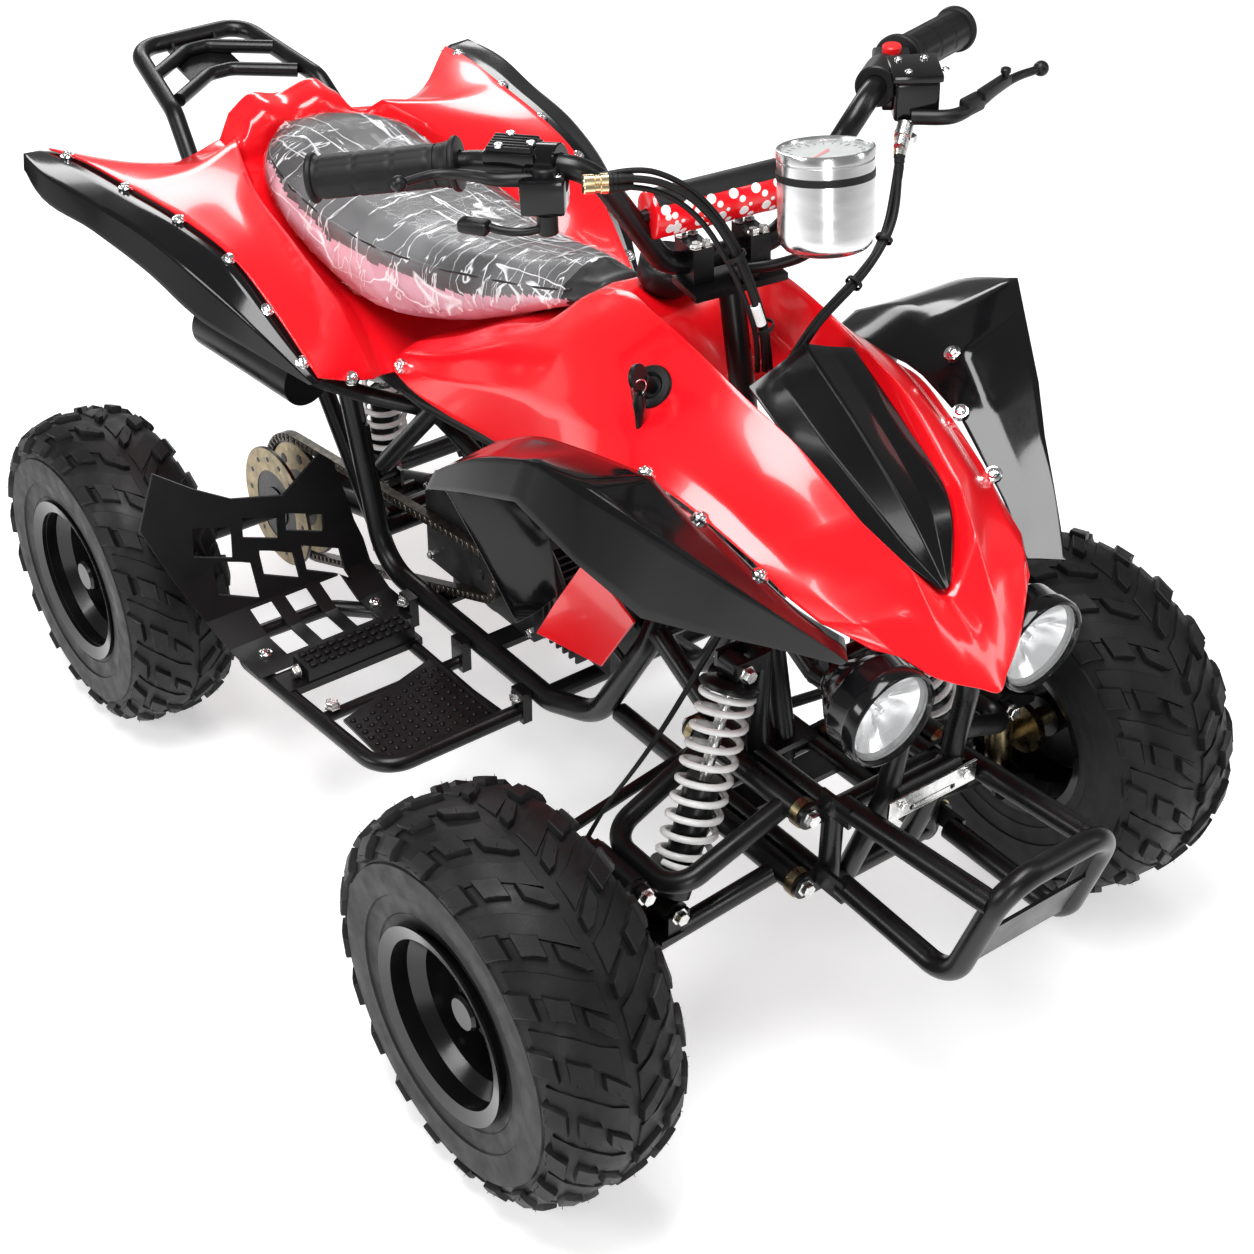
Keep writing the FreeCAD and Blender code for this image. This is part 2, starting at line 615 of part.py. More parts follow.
def footrests():
    """Tube loop each side with a ridged peg and a tread plate."""
    inner = RAIL_HALF_GAUGE + RAIL_DIAMETER / 2 + SEAT_GAP
    loop = bent_tube([
        (inner + 4, -118, FOOT_LOOP_Z), (FOOT_OUTER_X - 20, -118, FOOT_LOOP_Z), (FOOT_OUTER_X, 190, FOOT_LOOP_Z),
        (FOOT_OUTER_X - 34, 232, FOOT_LOOP_Z), (200, 228, FOOT_LOOP_Z), (inner + 4, 150, FOOT_LOOP_Z),
    ], FOOT_TUBE_DIAMETER, 42)
    lugs = [Part.makeBox(14, 26, 46, vec(inner, y - 13, FOOT_LOOP_Z - 12)) for y in (-118, 20, 146)]
    peg_bar = box_between((inner + 30, 78, FOOT_LOOP_Z + 1), (FOOT_OUTER_X - 3, 122, FOOT_LOOP_Z + 12))
    peg = box_between((inner + 40, 80, FOOT_LOOP_Z + 10), (FOOT_OUTER_X - 34, 120, FOOT_LOOP_Z + 32))
    plate = flat_plate([(320, -6, FOOT_LOOP_Z + 4), (158, 40, FOOT_LOOP_Z + 4), (146, -112, FOOT_LOOP_Z + 4),
                        (322, -112, FOOT_LOOP_Z + 4)], 4)
    stay = rod((inner + 6, 20, FOOT_LOOP_Z - 2), (FOOT_OUTER_X - 10, 20, FOOT_LOOP_Z - 2), 16)
    side_bar = rod((156, -112, FOOT_LOOP_Z - 1), (156, 184, FOOT_LOOP_Z - 1), 17)
    return both_sides(welded([loop, side_bar, stay, peg_bar, peg, plate] + lugs))


def heel_guards():
    """Moulded guard behind each foot, with two rows of windows and curved slats below."""
    wall = 5.0
    base = FOOT_LOOP_Z + FOOT_TUBE_DIAMETER / 2 + SEAT_GAP
    rear = REAR_TYRE_FRONT_Y
    back = [(rear - 159, base), (rear - 79, base), (rear - 31, base + 20), (rear - 3, 322), (rear + 11, 500)]
    front = [(y - wall * 0.8, z + wall * 0.6) for y, z in reversed(back)]
    profile = Part.makePolygon([vec(0, y, z) for y, z in back + front + back[:1]])
    bent = Part.Face(profile).extrude(vec(460, 0, 0))
    outline = Part.makePolygon([vec(x, 0, z) for x, z in (
        (118, 200), (352, 200), (372, 268), (398, 330), (434, 420), (404, 492), (352, 452), (300, 419), (225, 398),
        (163, 440), (146, 424), (130, 360), (118, 300), (118, 200))])
    shape = bent.common(Part.Face(outline).extrude(vec(0, 460, 0)))
    cuts = []
    for corners in (
        [(366, 356), (362, 398), (306, 380), (310, 334)], [(292, 358), (290, 388), (238, 369), (240, 338)],
        [(228, 346), (226, 372), (170, 350), (172, 324)], [(344, 297), (340, 340), (286, 319), (289, 275)],
        [(274, 300), (271, 331), (224, 313), (226, 281)], [(213, 287), (210, 318), (157, 298), (159, 264)],
    ):
        window = Part.makePolygon([vec(x, 180, z) for x, z in corners + corners[:1]])
        cuts.append(Part.Face(window).extrude(vec(0, 200, 0)))
    cuts += [Part.makeBox(34, 100, 26, vec(x, 150, 244)) for x in (168, 222, 276)]
    cuts.append(box_between((110, 120, 240), (131, 161, 262)))
    return both_sides(shape.cut(Part.makeCompound(cuts)))


# Bodywork

def front_cowl():
    """Nose and tank cover in one moulding, with a recess for the insert and the steering opening."""
    rows = whole_rows([
        [(0, -787, 615), (20, -776, 622), (40, -765, 629), (60, -753, 639), (85, -733, 661), (110, -712, 673)],
        [(0, -745, 655), (18, -740, 662), (40, -728, 680), (72, -715, 692), (112, -700, 692), (140, -668, 690)],
        [(0, -705, 684), (14, -702, 694), (46, -692, 731), (78, -672, 724), (128, -655, 708), (152, -625, 706)],
        [(0, -640, 690), (48, -640, 715), (67, -640, 767), (98, -625, 757), (140, -600, 732), (160, -585, 728)],
        [(0, -560, 700), (60, -560, 752), (78, -555, 816), (112, -545, 798), (152, -530, 762), (174, -520, 752)],
        [(0, -470, 715), (68, -470, 775), (84, -470, 842), (120, -460, 822), (165, -450, 784), (189, -445, 768)],
        [(0, -400, 745), (68, -400, 790), (86, -400, 862), (124, -390, 825), (172, -380, 780), (192, -375, 755)],
        [(0, -330, 785), (66, -330, 808), (84, -320, 876), (124, -310, 835), (170, -300, 770), (184, -300, 700)],
        [(0, -262, 835), (50, -268, 848), (72, -262, 872), (122, -240, 828), (162, -235, 745), (172, -220, 655)],
        [(0, -200, 846), (45, -200, 850), (78, -195, 842), (118, -180, 800), (152, -170, 730), (160, -165, 652)],
        [(0, -166, 798), (50, -166, 798), (88, -150, 800), (116, -120, 770), (146, -110, 710), (150, -100, 640)],
        [(0, -40, 745), (50, -40, 745), (92, -40, 745), (118, -30, 720), (140, -15, 675), (146, 0, 626)],
        [(0, 60, 690), (50, 60, 690), (98, 60, 688), (122, 70, 668), (136, 80, 645), (142, 85, 622)],
        [(0, 120, 660), (50, 120, 660), (105, 125, 658), (124, 128, 648), (134, 130, 638), (138, 132, 628)],
    ])
    shell = moulded_panel(rows, PANEL_WALL)
    opening = Part.makeBox(96, 116, 300, vec(-48, -462, 600))
    lock = Part.makeCylinder(LOCK_RADIUS + SEAT_GAP, 60, vec(*LOCK_CENTRE) - vec(*LOCK_AXIS) * 30, vec(*LOCK_AXIS))
    return shell.cut(Part.makeCompound([opening, lock]))


def hood_insert():
    """Ridged cover in the cowl's recess."""
    rows = whole_rows([
        [(0, -700, 698), (4, -699, 699), (9, -697, 702)],
        [(0, -645, 752), (26, -643, 748), (56, -640, 752)],
        [(0, -560, 818), (36, -556, 804), (68, -555, 800)],
        [(0, -468, 878), (38, -467, 862), (72, -466, 850)],
    ])
    insert = moulded_panel(rows, PANEL_WALL)
    insert.translate(vec(0, 0, INSERT_LIFT))
    return insert


def front_fenders():
    """Faceted front fender each side, with its bolted flange and the panel that hangs behind the wheel."""
    rows = [
        [(120, -682, 668), (134, -700, 672), (152, -722, 675), (154, -716, 668)],
        [(148, -640, 692), (168, -650, 702), (195, -658, 716), (205, -652, 677)],
        [(163, -590, 718), (186, -600, 730), (227, -609, 745), (245, -605, 682)],
        [(178, -530, 748), (202, -550, 757), (262, -561, 778), (282, -560, 690)],
        [(192, -455, 762), (216, -490, 797), (307, -489, 821), (322, -505, 742)],
        [(198, -420, 762), (236, -410, 795), (334, -450, 838), (348, -440, 790)],
        [(202, -350, 755), (250, -350, 788), (343, -354, 796), (352, -345, 756)],
        [(204, -285, 735), (255, -278, 752), (346, -290, 752), (350, -278, 726)],
    ]
    top = moulded_panel(rows, PANEL_WALL)
    hanging = flat_plate([(343, -292, 749), (253, -300, 524), (216, -326, 560), (208, -294, 736)], PANEL_WALL)
    fender = fused([top, hanging])
    fender.translate(vec(0, 0, FENDER_LIFT))
    return both_sides(fender)


def rear_body():
    """Tail and wings in one moulding around the seat."""
    rows = whole_rows([
        [(0, 150, 606), (60, 150, 606), (134, 160, 606), (152, 150, 610), (192, 140, 625), (242, 130, 650)],
        [(0, 230, 640), (60, 230, 640), (122, 230, 655), (162, 215, 690), (202, 208, 704), (254, 208, 712)],
        [(0, 330, 665), (60, 330, 665), (128, 330, 680), (160, 312, 733), (206, 302, 750), (263, 280, 755)],
        [(0, 430, 694), (60, 430, 694), (132, 430, 704), (152, 420, 762), (208, 400, 774), (276, 380, 775)],
        [(0, 562, 738), (55, 562, 738), (98, 556, 744), (116, 540, 790), (200, 500, 784), (291, 495, 782)],
        [(0, 580, 790), (46, 575, 800), (74, 580, 792), (98, 600, 752), (200, 585, 762), (309, 628, 785)],
        [(0, 628, 800), (52, 618, 812), (80, 624, 790), (92, 634, 752), (190, 600, 752), (318, 688, 778)],
    ])
    return moulded_panel(rows, PANEL_WALL)


def rear_trims():
    """Fender edge each side, bolted under the wing."""
    rows = [
        [(236, 134, 639), (246, 128, 642), (252, 130, 640), (254, 136, 638)],
        [(250, 208, 699), (266, 204, 702), (284, 206, 694), (290, 210, 664)],
        [(257, 282, 745), (278, 276, 746), (306, 278, 730), (318, 280, 684)],
        [(270, 382, 765), (292, 376, 766), (324, 378, 758), (336, 382, 716)],
        [(285, 497, 772), (308, 492, 773), (340, 494, 768), (352, 498, 734)],
        [(303, 630, 775), (326, 624, 777), (360, 622, 776), (370, 626, 750)],
        [(312, 690, 768), (330, 692, 773), (356, 684, 778), (368, 660, 768)],
    ]
    trim = moulded_panel(rows, PANEL_WALL)
    trim.translate(vec(0, 0, TRIM_LIFT))
    return both_sides(trim)


def side_covers():
    """Small lower cover each side below the tank."""
    outline = [(-196, 446), (-160, 385), (-292, 412), (-352, 508), (-262, 548)]
    return both_sides(flat_plate([(SIDE_COVER_X, y, z) for y, z in outline], PANEL_WALL))


def seat():
    """Closed cushion over the tank cover and tail."""
    stations = [
        (-158, 44, 812, 842), (-100, 66, 786, 830), (0, 84, 736, 806), (100, 104, 694, 790),
        (200, 124, 672, 784), (300, 132, 680, 786), (400, 128, 700, 796), (490, 108, 726, 808), (556, 62, 752, 802),
    ]
    wires = []
    for y, half, low, high in stations:
        crown = high - 16
        wires.append(Part.makePolygon([vec(x, y, z) for x, z in (
            (-half + 8, low), (half - 8, low), (half + 4, (low + crown) / 2), (half - 8, crown), (half * 0.6, high),
            (-half * 0.6, high), (-half + 8, crown), (-half - 4, (low + crown) / 2), (-half + 8, low))]))
    cushion = Part.makeLoft(wires, True, True)
    cushion.translate(vec(0, 0, SEAT_LIFT))
    return cushion


def fuel_cap():
    """Ribbed screw cap on the tank cover."""
    profile = [(0, 0), (26, 0), (30, 6), (34, 12), (34, 34), (30, 38), (0, 38)]
    return revolved(profile, (0, -236, 847.8), (0, -0.25, 1))


def lamp_axis():
    return (0, -0.998, -0.06)


def headlights():
    """Round lamp housing each side of the nose, a deep can with a cone behind it."""
    ring = LAMP_RADIUS
    back = (LAMP_CENTRE[1] - (LAMP_TUBE_Y - LAMP_TUBE_DIAMETER / 2 - SEAT_GAP)) / -lamp_axis()[1]
    shape = revolved([
        (0, back), (24, back), (ring - 19, back + 18), (ring - 8, back + 38), (ring - 2, back + 44), (ring, -2),
        (ring, 4), (ring - 3, 6), (LENS_RADIUS + 0.5, 4), (LENS_RADIUS + 0.5, -5), (0, -5),
    ], LAMP_CENTRE, lamp_axis())
    return both_sides(shape)


def lenses():
    """Domed lens in each lamp."""
    rim_radius = LENS_RADIUS
    return both_sides(revolved([(0, -4.7), (rim_radius, -4.7), (rim_radius, -1), (rim_radius - 16, 3), (0, 5)],
                               LAMP_CENTRE, lamp_axis()))


# Engine and drive

def engine():
    """Single-cylinder engine: case, side covers, finned barrel laid forward and head."""
    case = Part.makeBox(136, 250, 130, vec(-61, -60, ENGINE_FLOOR_Z))
    inner = SPROCKET_X + CHAIN_WIDTH / 2 + 4
    covers = [Part.makeCylinder(62, 92 - inner, vec(inner, ENGINE_SHAFT_Y, ENGINE_SHAFT_Z), vec(1, 0, 0)),
              Part.makeCylinder(56, 92 - inner, vec(inner, 130, 350), vec(1, 0, 0)),
              Part.makeCylinder(DRIVE_SPROCKET_RADIUS, 6, vec(SPROCKET_X - 3, ENGINE_SHAFT_Y, ENGINE_SHAFT_Z),
                                vec(1, 0, 0)),
              Part.makeCylinder(9, inner - SPROCKET_X + 8, vec(SPROCKET_X - 7, ENGINE_SHAFT_Y, ENGINE_SHAFT_Z),
                                vec(1, 0, 0))]
    barrel = rod((0, -60, 350), (0, -150, 358), 92)
    fins = [Part.makeBox(112, 4, 112, vec(-56, -76 - 14 * n, 298)) for n in range(6)]
    head = Part.makeBox(96, 60, 96, vec(-48, -205, 310))
    return fused([case] + covers + [barrel] + fins + [head])


def silencer():
    """Silencer can under the right rear fender with its pipe."""
    can = rod((-200, 236, 588), (-226, 430, 600), 76)
    pipe = bent_tube([(-48.3, -175, 356), (-78, -175, 356), (-76, -120, 440), (-66, -30, 496), (-60, 160, 528),
                      (-130, 212, 552), (-196, 240, 588)], 22, 50)
    hanger = rod((-RAIL_HALF_GAUGE - 7 - FRAME_TUBE_DIAMETER / 2 - SEAT_GAP, 330, 586), (-190, 330, 594), 12)
    return fused([can, pipe, hanger])


def swing_arm():
    """Rear arm from its pivot to the axle carrier."""
    arms = [rod((x, SWING_PIVOT_Y + 16, SWING_PIVOT_Z - 4), (x * 0.7, REAR_AXLE_Y - 20, REAR_WHEEL_Z + 6), 32)
            for x in (-60, 60)]
    carrier = Part.makeCylinder(34, 120, vec(-60, REAR_AXLE_Y, REAR_WHEEL_Z), vec(1, 0, 0))
    bore = Part.makeCylinder(AXLE_DIAMETER / 2 + RUNNING_GAP, 122, vec(-61, REAR_AXLE_Y, REAR_WHEEL_Z), vec(1, 0, 0))
    foot_y, foot_z = REAR_SHOCK_FOOT[1:]
    bridge = rod((-56, foot_y - 18, foot_z - 32), (56, foot_y - 18, foot_z - 32), 26)
    ears = shock_ears(REAR_SHOCK_FOOT, (1, 0, 0), (foot_y - 22, foot_y + 14), (foot_z - 38, foot_z + 6))
    pivot = rod((-70, SWING_PIVOT_Y + 29, SWING_PIVOT_Z - 4), (70, SWING_PIVOT_Y + 29, SWING_PIVOT_Z - 4), 32)
    return fused(arms + [carrier, bridge, pivot] + ears).cut(bore)


def drive_chain():
    """Chain loop from the engine's sprocket round the axle's."""
    x = SPROCKET_X
    big = SPROCKET_RADIUS + CHAIN_GAP
    small = DRIVE_SPROCKET_RADIUS + CHAIN_GAP
    run = vec(0, REAR_AXLE_Y - ENGINE_SHAFT_Y, REAR_WHEEL_Z - ENGINE_SHAFT_Z)
    spread = math.asin((big - small) / run.Length)
    tilt = math.atan2(run.z, run.y)

    def loop(extra):
        edges = []
        ends = []
        for sign in (1, -1):
            normal = tilt + sign * (math.pi / 2 + spread)
            unit = vec(0, math.cos(normal), math.sin(normal))
            ends.append((vec(x, ENGINE_SHAFT_Y, ENGINE_SHAFT_Z) + unit * (small + extra),
                         vec(x, REAR_AXLE_Y, REAR_WHEEL_Z) + unit * (big + extra)))
        back = vec(x, REAR_AXLE_Y, REAR_WHEEL_Z) + vec(0, math.cos(tilt), math.sin(tilt)) * (big + extra)
        fore = vec(x, ENGINE_SHAFT_Y, ENGINE_SHAFT_Z) - vec(0, math.cos(tilt), math.sin(tilt)) * (small + extra)
        edges.append(Part.LineSegment(ends[0][0], ends[0][1]).toShape())
        edges.append(Part.Arc(ends[0][1], back, ends[1][1]).toShape())
        edges.append(Part.LineSegment(ends[1][1], ends[1][0]).toShape())
        edges.append(Part.Arc(ends[1][0], fore, ends[0][0]).toShape())
        return Part.Face(Part.Wire(edges))

    band = loop(CHAIN_HEIGHT).cut(loop(0))
    chain = band.extrude(vec(CHAIN_WIDTH, 0, 0))
    chain.translate(vec(-CHAIN_WIDTH / 2, 0, 0))
    return chain


def rear_axle():
    """Live axle with its sprocket, brake disc and hubs."""
    reach = REAR_HALF_TRACK + disc_inner_face(REAR_HUB_RADIUS, REAR_DISC_OFFSET) - SEAT_GAP
    centre = (0, REAR_AXLE_Y, REAR_WHEEL_Z)
    bar = Part.makeCylinder(AXLE_DIAMETER / 2, 2 * reach, vec(-reach, REAR_AXLE_Y, REAR_WHEEL_Z), vec(1, 0, 0))
    sprocket = revolved([(0, -3), (SPROCKET_RADIUS, -3), (SPROCKET_RADIUS, 3), (0, 3)],
                        (SPROCKET_X, centre[1], centre[2]), (1, 0, 0))
    disc = revolved([(0, -2), (DISC_RADIUS, -2), (DISC_RADIUS, 2), (0, 2)], (DISC_X, centre[1], centre[2]), (1, 0, 0))
    hubs = [revolved([(0, 0), (REAR_HUB_RADIUS, 0), (REAR_HUB_RADIUS, 10), (26, 14), (26, 60), (0, 60)],
                     (side * reach, centre[1], centre[2]), (-side, 0, 0)) for side in (1, -1)]
    carrier = revolved([(0, -26), (30, -26), (30, 26), (0, 26)], ((SPROCKET_X + DISC_X) / 2, centre[1], centre[2]),
                       (1, 0, 0))
    return fused([bar, sprocket, disc, carrier] + hubs)


# Suspension

def shock(top, foot, eye_axis):
    """Damper body with its rod and eyes, without the spring."""
    a = vec(*top)
    b = vec(*foot)
    along = b - a
    length = along.Length
    ring = SHOCK_SPRING_RADIUS
    cup = SHOCK_CUP_DEPTH
    seat = length - SHOCK_SEAT_HEIGHT
    parts = [
        revolved([(0, 14), (18, 14), (ring, cup - 6), (ring, cup), (0, cup)], top, along),
        revolved([(0, cup - 1), (6.5, cup - 1), (6.5, length * 0.5), (0, length * 0.5)], top, along),
        revolved([(0, length * 0.45), (20, length * 0.45), (20, seat), (ring, seat), (ring, seat + 6),
                  (22, seat + 8), (20, length - 16), (0, length - 16)], top, along),
    ]
    turn = vec(*eye_axis)
    eyes = [Part.makeCylinder(SHOCK_EYE_RADIUS, SHOCK_EYE_LENGTH, point - turn * (SHOCK_EYE_LENGTH / 2), turn)
            for point in (a, b)]
    return fused(parts + eyes)


def coil(top, foot):
    """Open coil spring between a shock's cup and seat."""
    origin = vec(*top)
    along = vec(*foot) - origin
    wire = SPRING_WIRE_DIAMETER / 2
    start = SHOCK_CUP_DEPTH + SEAT_GAP + wire
    rise = along.Length - SHOCK_SEAT_HEIGHT - SEAT_GAP - wire - start
    steps = round(rise / SPRING_PITCH) * SPRING_STEPS
    along.normalize()
    across = along.cross(vec(0, 1, 0))
    across.normalize()
    third = along.cross(across)
    rings = []
    for step in range(steps + 1):
        turn = 2 * math.pi * step / SPRING_STEPS
        outward = across * math.cos(turn) + third * math.sin(turn)
        middle = origin + outward * (SHOCK_SPRING_RADIUS - wire) + along * (start + rise * step / steps)
        ring = []
        for side in range(SPRING_SIDES):
            angle = 2 * math.pi * side / SPRING_SIDES
            ring.append(middle + outward * (wire * math.cos(angle)) + along * (wire * math.sin(angle)))
        rings.append(ring)
    return faceted_solid(rings, False)


def shocks():
    front = shock(SHOCK_TOP, SHOCK_FOOT, (0, 1, 0))
    return Part.makeCompound([front, mirrored(front), shock(REAR_SHOCK_TOP, REAR_SHOCK_FOOT, (1, 0, 0))])


def springs():
    front = coil(SHOCK_TOP, SHOCK_FOOT)
    return Part.makeCompound([front, mirrored(front), coil(REAR_SHOCK_TOP, REAR_SHOCK_FOOT)])


def arm_sleeve_x():
    """Distance of the arms' inner pins from the middle, beside the frame rails."""
    return FRONT_HALF_GAUGE + FRAME_TUBE_DIAMETER / 2 + ARM_BUSH_RADIUS + SEAT_GAP


def arm_sleeve(height):
    """Inner sleeve of an arm, between its bushes."""
    room = ARM_BUSH_LENGTH + 2 * SEAT_GAP
    length = ARM_REAR_Y - ARM_FRONT_Y - 2 * room
    return Part.makeCylinder(ARM_SLEEVE_RADIUS, length, vec(arm_sleeve_x(), ARM_FRONT_Y + room, height), vec(0, 1, 0))


def arm_bushes():
    """Bronze bush at each end of the four inner sleeves."""
    bushes = []
    for height in (ARM_LOW_Z, ARM_HIGH_Z):
        for y in (ARM_FRONT_Y + SEAT_GAP, ARM_REAR_Y - SEAT_GAP - ARM_BUSH_LENGTH):
            bush = Part.makeCylinder(ARM_BUSH_RADIUS, ARM_BUSH_LENGTH, vec(arm_sleeve_x(), y, height), vec(0, 1, 0))
            bushes += [bush, mirrored(bush)]
    return Part.makeCompound(bushes)


def outer_sleeve(x, z):
    """Sleeve of an arm on its outer pin."""
    return Part.makeCylinder(15, OUTER_PIN_LENGTH, vec(x, KINGPIN_Y - OUTER_PIN_LENGTH / 2, z), vec(0, 1, 0))


def upper_arms():
    """Upper arm each side: one tube bent round its outer pin."""
    tube = ARM_TUBE_DIAMETER
    pin_x, pin_z = UPPER_PIN
    loop = bent_tube([(arm_sleeve_x(), ARM_REAR_Y - 30, ARM_HIGH_Z), (pin_x - 24, KINGPIN_Y + 46, pin_z + 6),
                      (pin_x - 24, ARM_FRONT_Y + 40, pin_z + 6), (arm_sleeve_x(), ARM_FRONT_Y + 30, ARM_HIGH_Z)],
                     tube, 36)
    sleeve = outer_sleeve(pin_x, pin_z)
    return both_sides(fused([loop, sleeve, arm_sleeve(ARM_HIGH_Z)]))


def lower_arms():
    """Lower arm each side: two tubes to the outer pin and a seat for the shock."""
    tube = ARM_TUBE_DIAMETER
    pin_x, pin_z = LOWER_PIN
    legs = [rod((arm_sleeve_x(), y, ARM_LOW_Z), (pin_x - 2, KINGPIN_Y + side * 14, pin_z + 2), tube)
            for y, side in ((ARM_FRONT_Y + 36, -1), (ARM_REAR_Y - 36, 1))]
    sleeve = outer_sleeve(pin_x, pin_z)
    foot_x, foot_y, foot_z = SHOCK_FOOT
    seat_plate = Part.makeBox(56, 90, 6, vec(foot_x - 30, foot_y - 22, foot_z - 30))
    ears = shock_ears(SHOCK_FOOT, (0, 1, 0), (foot_x - 15, foot_x + 15), (foot_z - 28, foot_z + 3))
    return both_sides(fused(legs + [sleeve, seat_plate, arm_sleeve(ARM_LOW_Z)] + ears))


def hub_carriers():
    """Forked bracket each side between the arms' outer pins, with the kingpin bolt through it."""
    gap = OUTER_PIN_LENGTH / 2 + SEAT_GAP
    upper_x, upper_z = UPPER_PIN
    lower_x, lower_z = LOWER_PIN
    top_z = KINGPIN_HIGH_Z + 4
    low_z = KINGPIN_LOW_Z - 4
    pieces = []
    for y in (KINGPIN_Y - gap - 6, KINGPIN_Y + gap):
        top = [(upper_x - 8, upper_z - 10), (upper_x - 8, upper_z + 12), (upper_x + 12, upper_z + 14),
               (KINGPIN_X + 6, top_z + 9), (KINGPIN_X + 6, top_z), (upper_x + 10, top_z)]
        low = [(lower_x - 14, lower_z + 12), (lower_x - 14, lower_z - 12), (lower_x, low_z - 12), (350, low_z - 12),
               (350, low_z), (lower_x + 14, lower_z + 10)]
        for outline in (top, low):
            points = [vec(x, y, z) for x, z in outline]
            pieces.append(Part.Face(Part.makePolygon(points + points[:1])).extrude(vec(0, 6, 0)))
    width = 2 * gap + 12
    pieces.append(Part.makeBox(30, width, 9, vec(KINGPIN_X - 24, KINGPIN_Y - width / 2, top_z)))
    pieces.append(Part.makeBox(36, width, 9, vec(314, KINGPIN_Y - width / 2, low_z - 12)))
    pieces.append(rod(kingpin_point(low_z - 8), kingpin_point(top_z + 14), KINGPIN_DIAMETER - 8))
    for x, z in (UPPER_PIN, LOWER_PIN):
        for y in (KINGPIN_Y - gap - 14, KINGPIN_Y + gap + 6):
            pieces.append(Part.makeCylinder(10, 8, vec(x, y, z), vec(0, 1, 0)))
    return both_sides(fused(pieces))


def kingpin_axis():
    lean = math.tan(math.radians(KINGPIN_LEAN_DEG))
    return (-lean, 0.0, 1.0)


def kingpin_point(z):
    """Point of the left kingpin's axis at a height."""
    middle = (KINGPIN_LOW_Z + KINGPIN_HIGH_Z) / 2
    return (KINGPIN_X + kingpin_axis()[0] * (z - middle), KINGPIN_Y, z)


def knuckle():
    """Left steering knuckle: kingpin barrel, spindle and steering arm."""
    low = kingpin_point(KINGPIN_LOW_Z)
    high = kingpin_point(KINGPIN_HIGH_Z)
    barrel = rod(low, high, KINGPIN_DIAMETER + 10)
    bolt = KINGPIN_DIAMETER - 8 + 2 * RUNNING_GAP
    bore = rod(kingpin_point(KINGPIN_LOW_Z - 10), kingpin_point(KINGPIN_HIGH_Z + 10), bolt)
    reach = FRONT_HALF_TRACK + disc_inner_face(SPINDLE_DIAMETER / 2, FRONT_DISC_OFFSET) - RUNNING_GAP - KINGPIN_X
    spindle = Part.makeCylinder(SPINDLE_DIAMETER / 2, reach, vec(KINGPIN_X, KINGPIN_Y, FRONT_WHEEL_Z), vec(1, 0, 0))
    flange = Part.makeCylinder(34, 10, vec(KINGPIN_X + 40, KINGPIN_Y, FRONT_WHEEL_Z), vec(1, 0, 0))
    end = vec(*steer_ball())
    arm = rod((KINGPIN_X - 4, KINGPIN_Y, end.z), (end.x, end.y, end.z), 20)
    stud = Part.makeCylinder(BALL_STUD_DIAMETER / 2, 22, end, vec(0, 0, 1))
    return fused([barrel, spindle, flange, arm, stud]).cut(bore)


def steer_ball():
    """Left steering arm's end, under its ball joint."""
    return (KINGPIN_X - 26, KINGPIN_Y + STEER_ARM_LENGTH, KINGPIN_HIGH_Z - 20)


def drop_ball():
    """Foot of the left stud under the stem's drop arm."""
    return (DROP_ARM_SPREAD, STEM_BOTTOM[1] + DROP_ARM_LENGTH, STEM_BOTTOM[2] + DROP_ARM_RISE)


def tie_rod():
    """Left tie rod from the steering arm's ball to the stem's drop arm."""
    end = vec(*steer_ball())
    drop = vec(*drop_ball())
    height = TIE_ROD_END_HEIGHT
    outer = end + vec(0, 0, 10 + RUNNING_GAP)
    stud = 8
    inner = drop - vec(0, 0, height + stud + DROP_GAP)
    eyes = [Part.makeCylinder(TIE_ROD_END_DIAMETER / 2, height, point, vec(0, 0, 1)) for point in (outer, inner)]
    inner_stud = Part.makeCylinder(BALL_STUD_DIAMETER / 2, height + stud, inner, vec(0, 0, 1))
    lift = vec(0, 0, height / 2)
    bar = rod(tuple(outer + lift), tuple(inner + lift), TIE_ROD_DIAMETER)
    bore = Part.makeCylinder(BALL_STUD_DIAMETER / 2 + RUNNING_GAP, height + 2, outer - vec(0, 0, 1), vec(0, 0, 1))
    return fused(eyes + [bar, inner_stud]).cut(bore)


# Steering and handlebar

def steering_stem():
    """Stem in its rake, with the drop arm at its foot and the clamp plate at its head."""
    stem = rod(STEM_BOTTOM, STEM_TOP, STEM_DIAMETER)
    x, y, z = drop_ball()
    foot = box_between((-x - 12, STEM_BOTTOM[1] - 18, z), (x + 12, y + 14, z + DROP_ARM_THICKNESS))
    head = turned(Part.makeBox(110, 56, 8, vec(-55, -374, STEM_TOP[2])))
    return fused([stem, foot, head])


def bar_frame():
    """Placement that turns the bar assembly to its parked angle about the stem."""
    b = vec(*STEM_TOP)
    along = b - vec(*STEM_BOTTOM)
    along.normalize()
    return b, along


def turned(shape):
    centre, along = bar_frame()
    copy = shape.copy()
    copy.rotate(centre, along, -BAR_TURN_DEG)
    return copy


BAR_POINTS = [(0, -330, 918), (66, -330, 922), (158, -350, 1066), (246, -256, 1054), (393, -160, 1032)]
LEVER_RIGHT = [(-178, -334, 1044), (-213, -324, 1054), (-244, -310, 1056), (-263, -288, 1056), (-289, -268, 1056),
               (-333, -269, 1056)]
LEVER_LEFT = [(214, -352, 1036), (250, -380, 1038), (284, -366, 1040), (316, -350, 1042), (358, -334, 1044),
              (389, -331, 1045)]


def riser_at(height):
    """Left riser's point at a height."""
    low = vec(*BAR_POINTS[1])
    run = vec(*BAR_POINTS[2]) - low
    return low + run * ((height - low.z) / run.z)


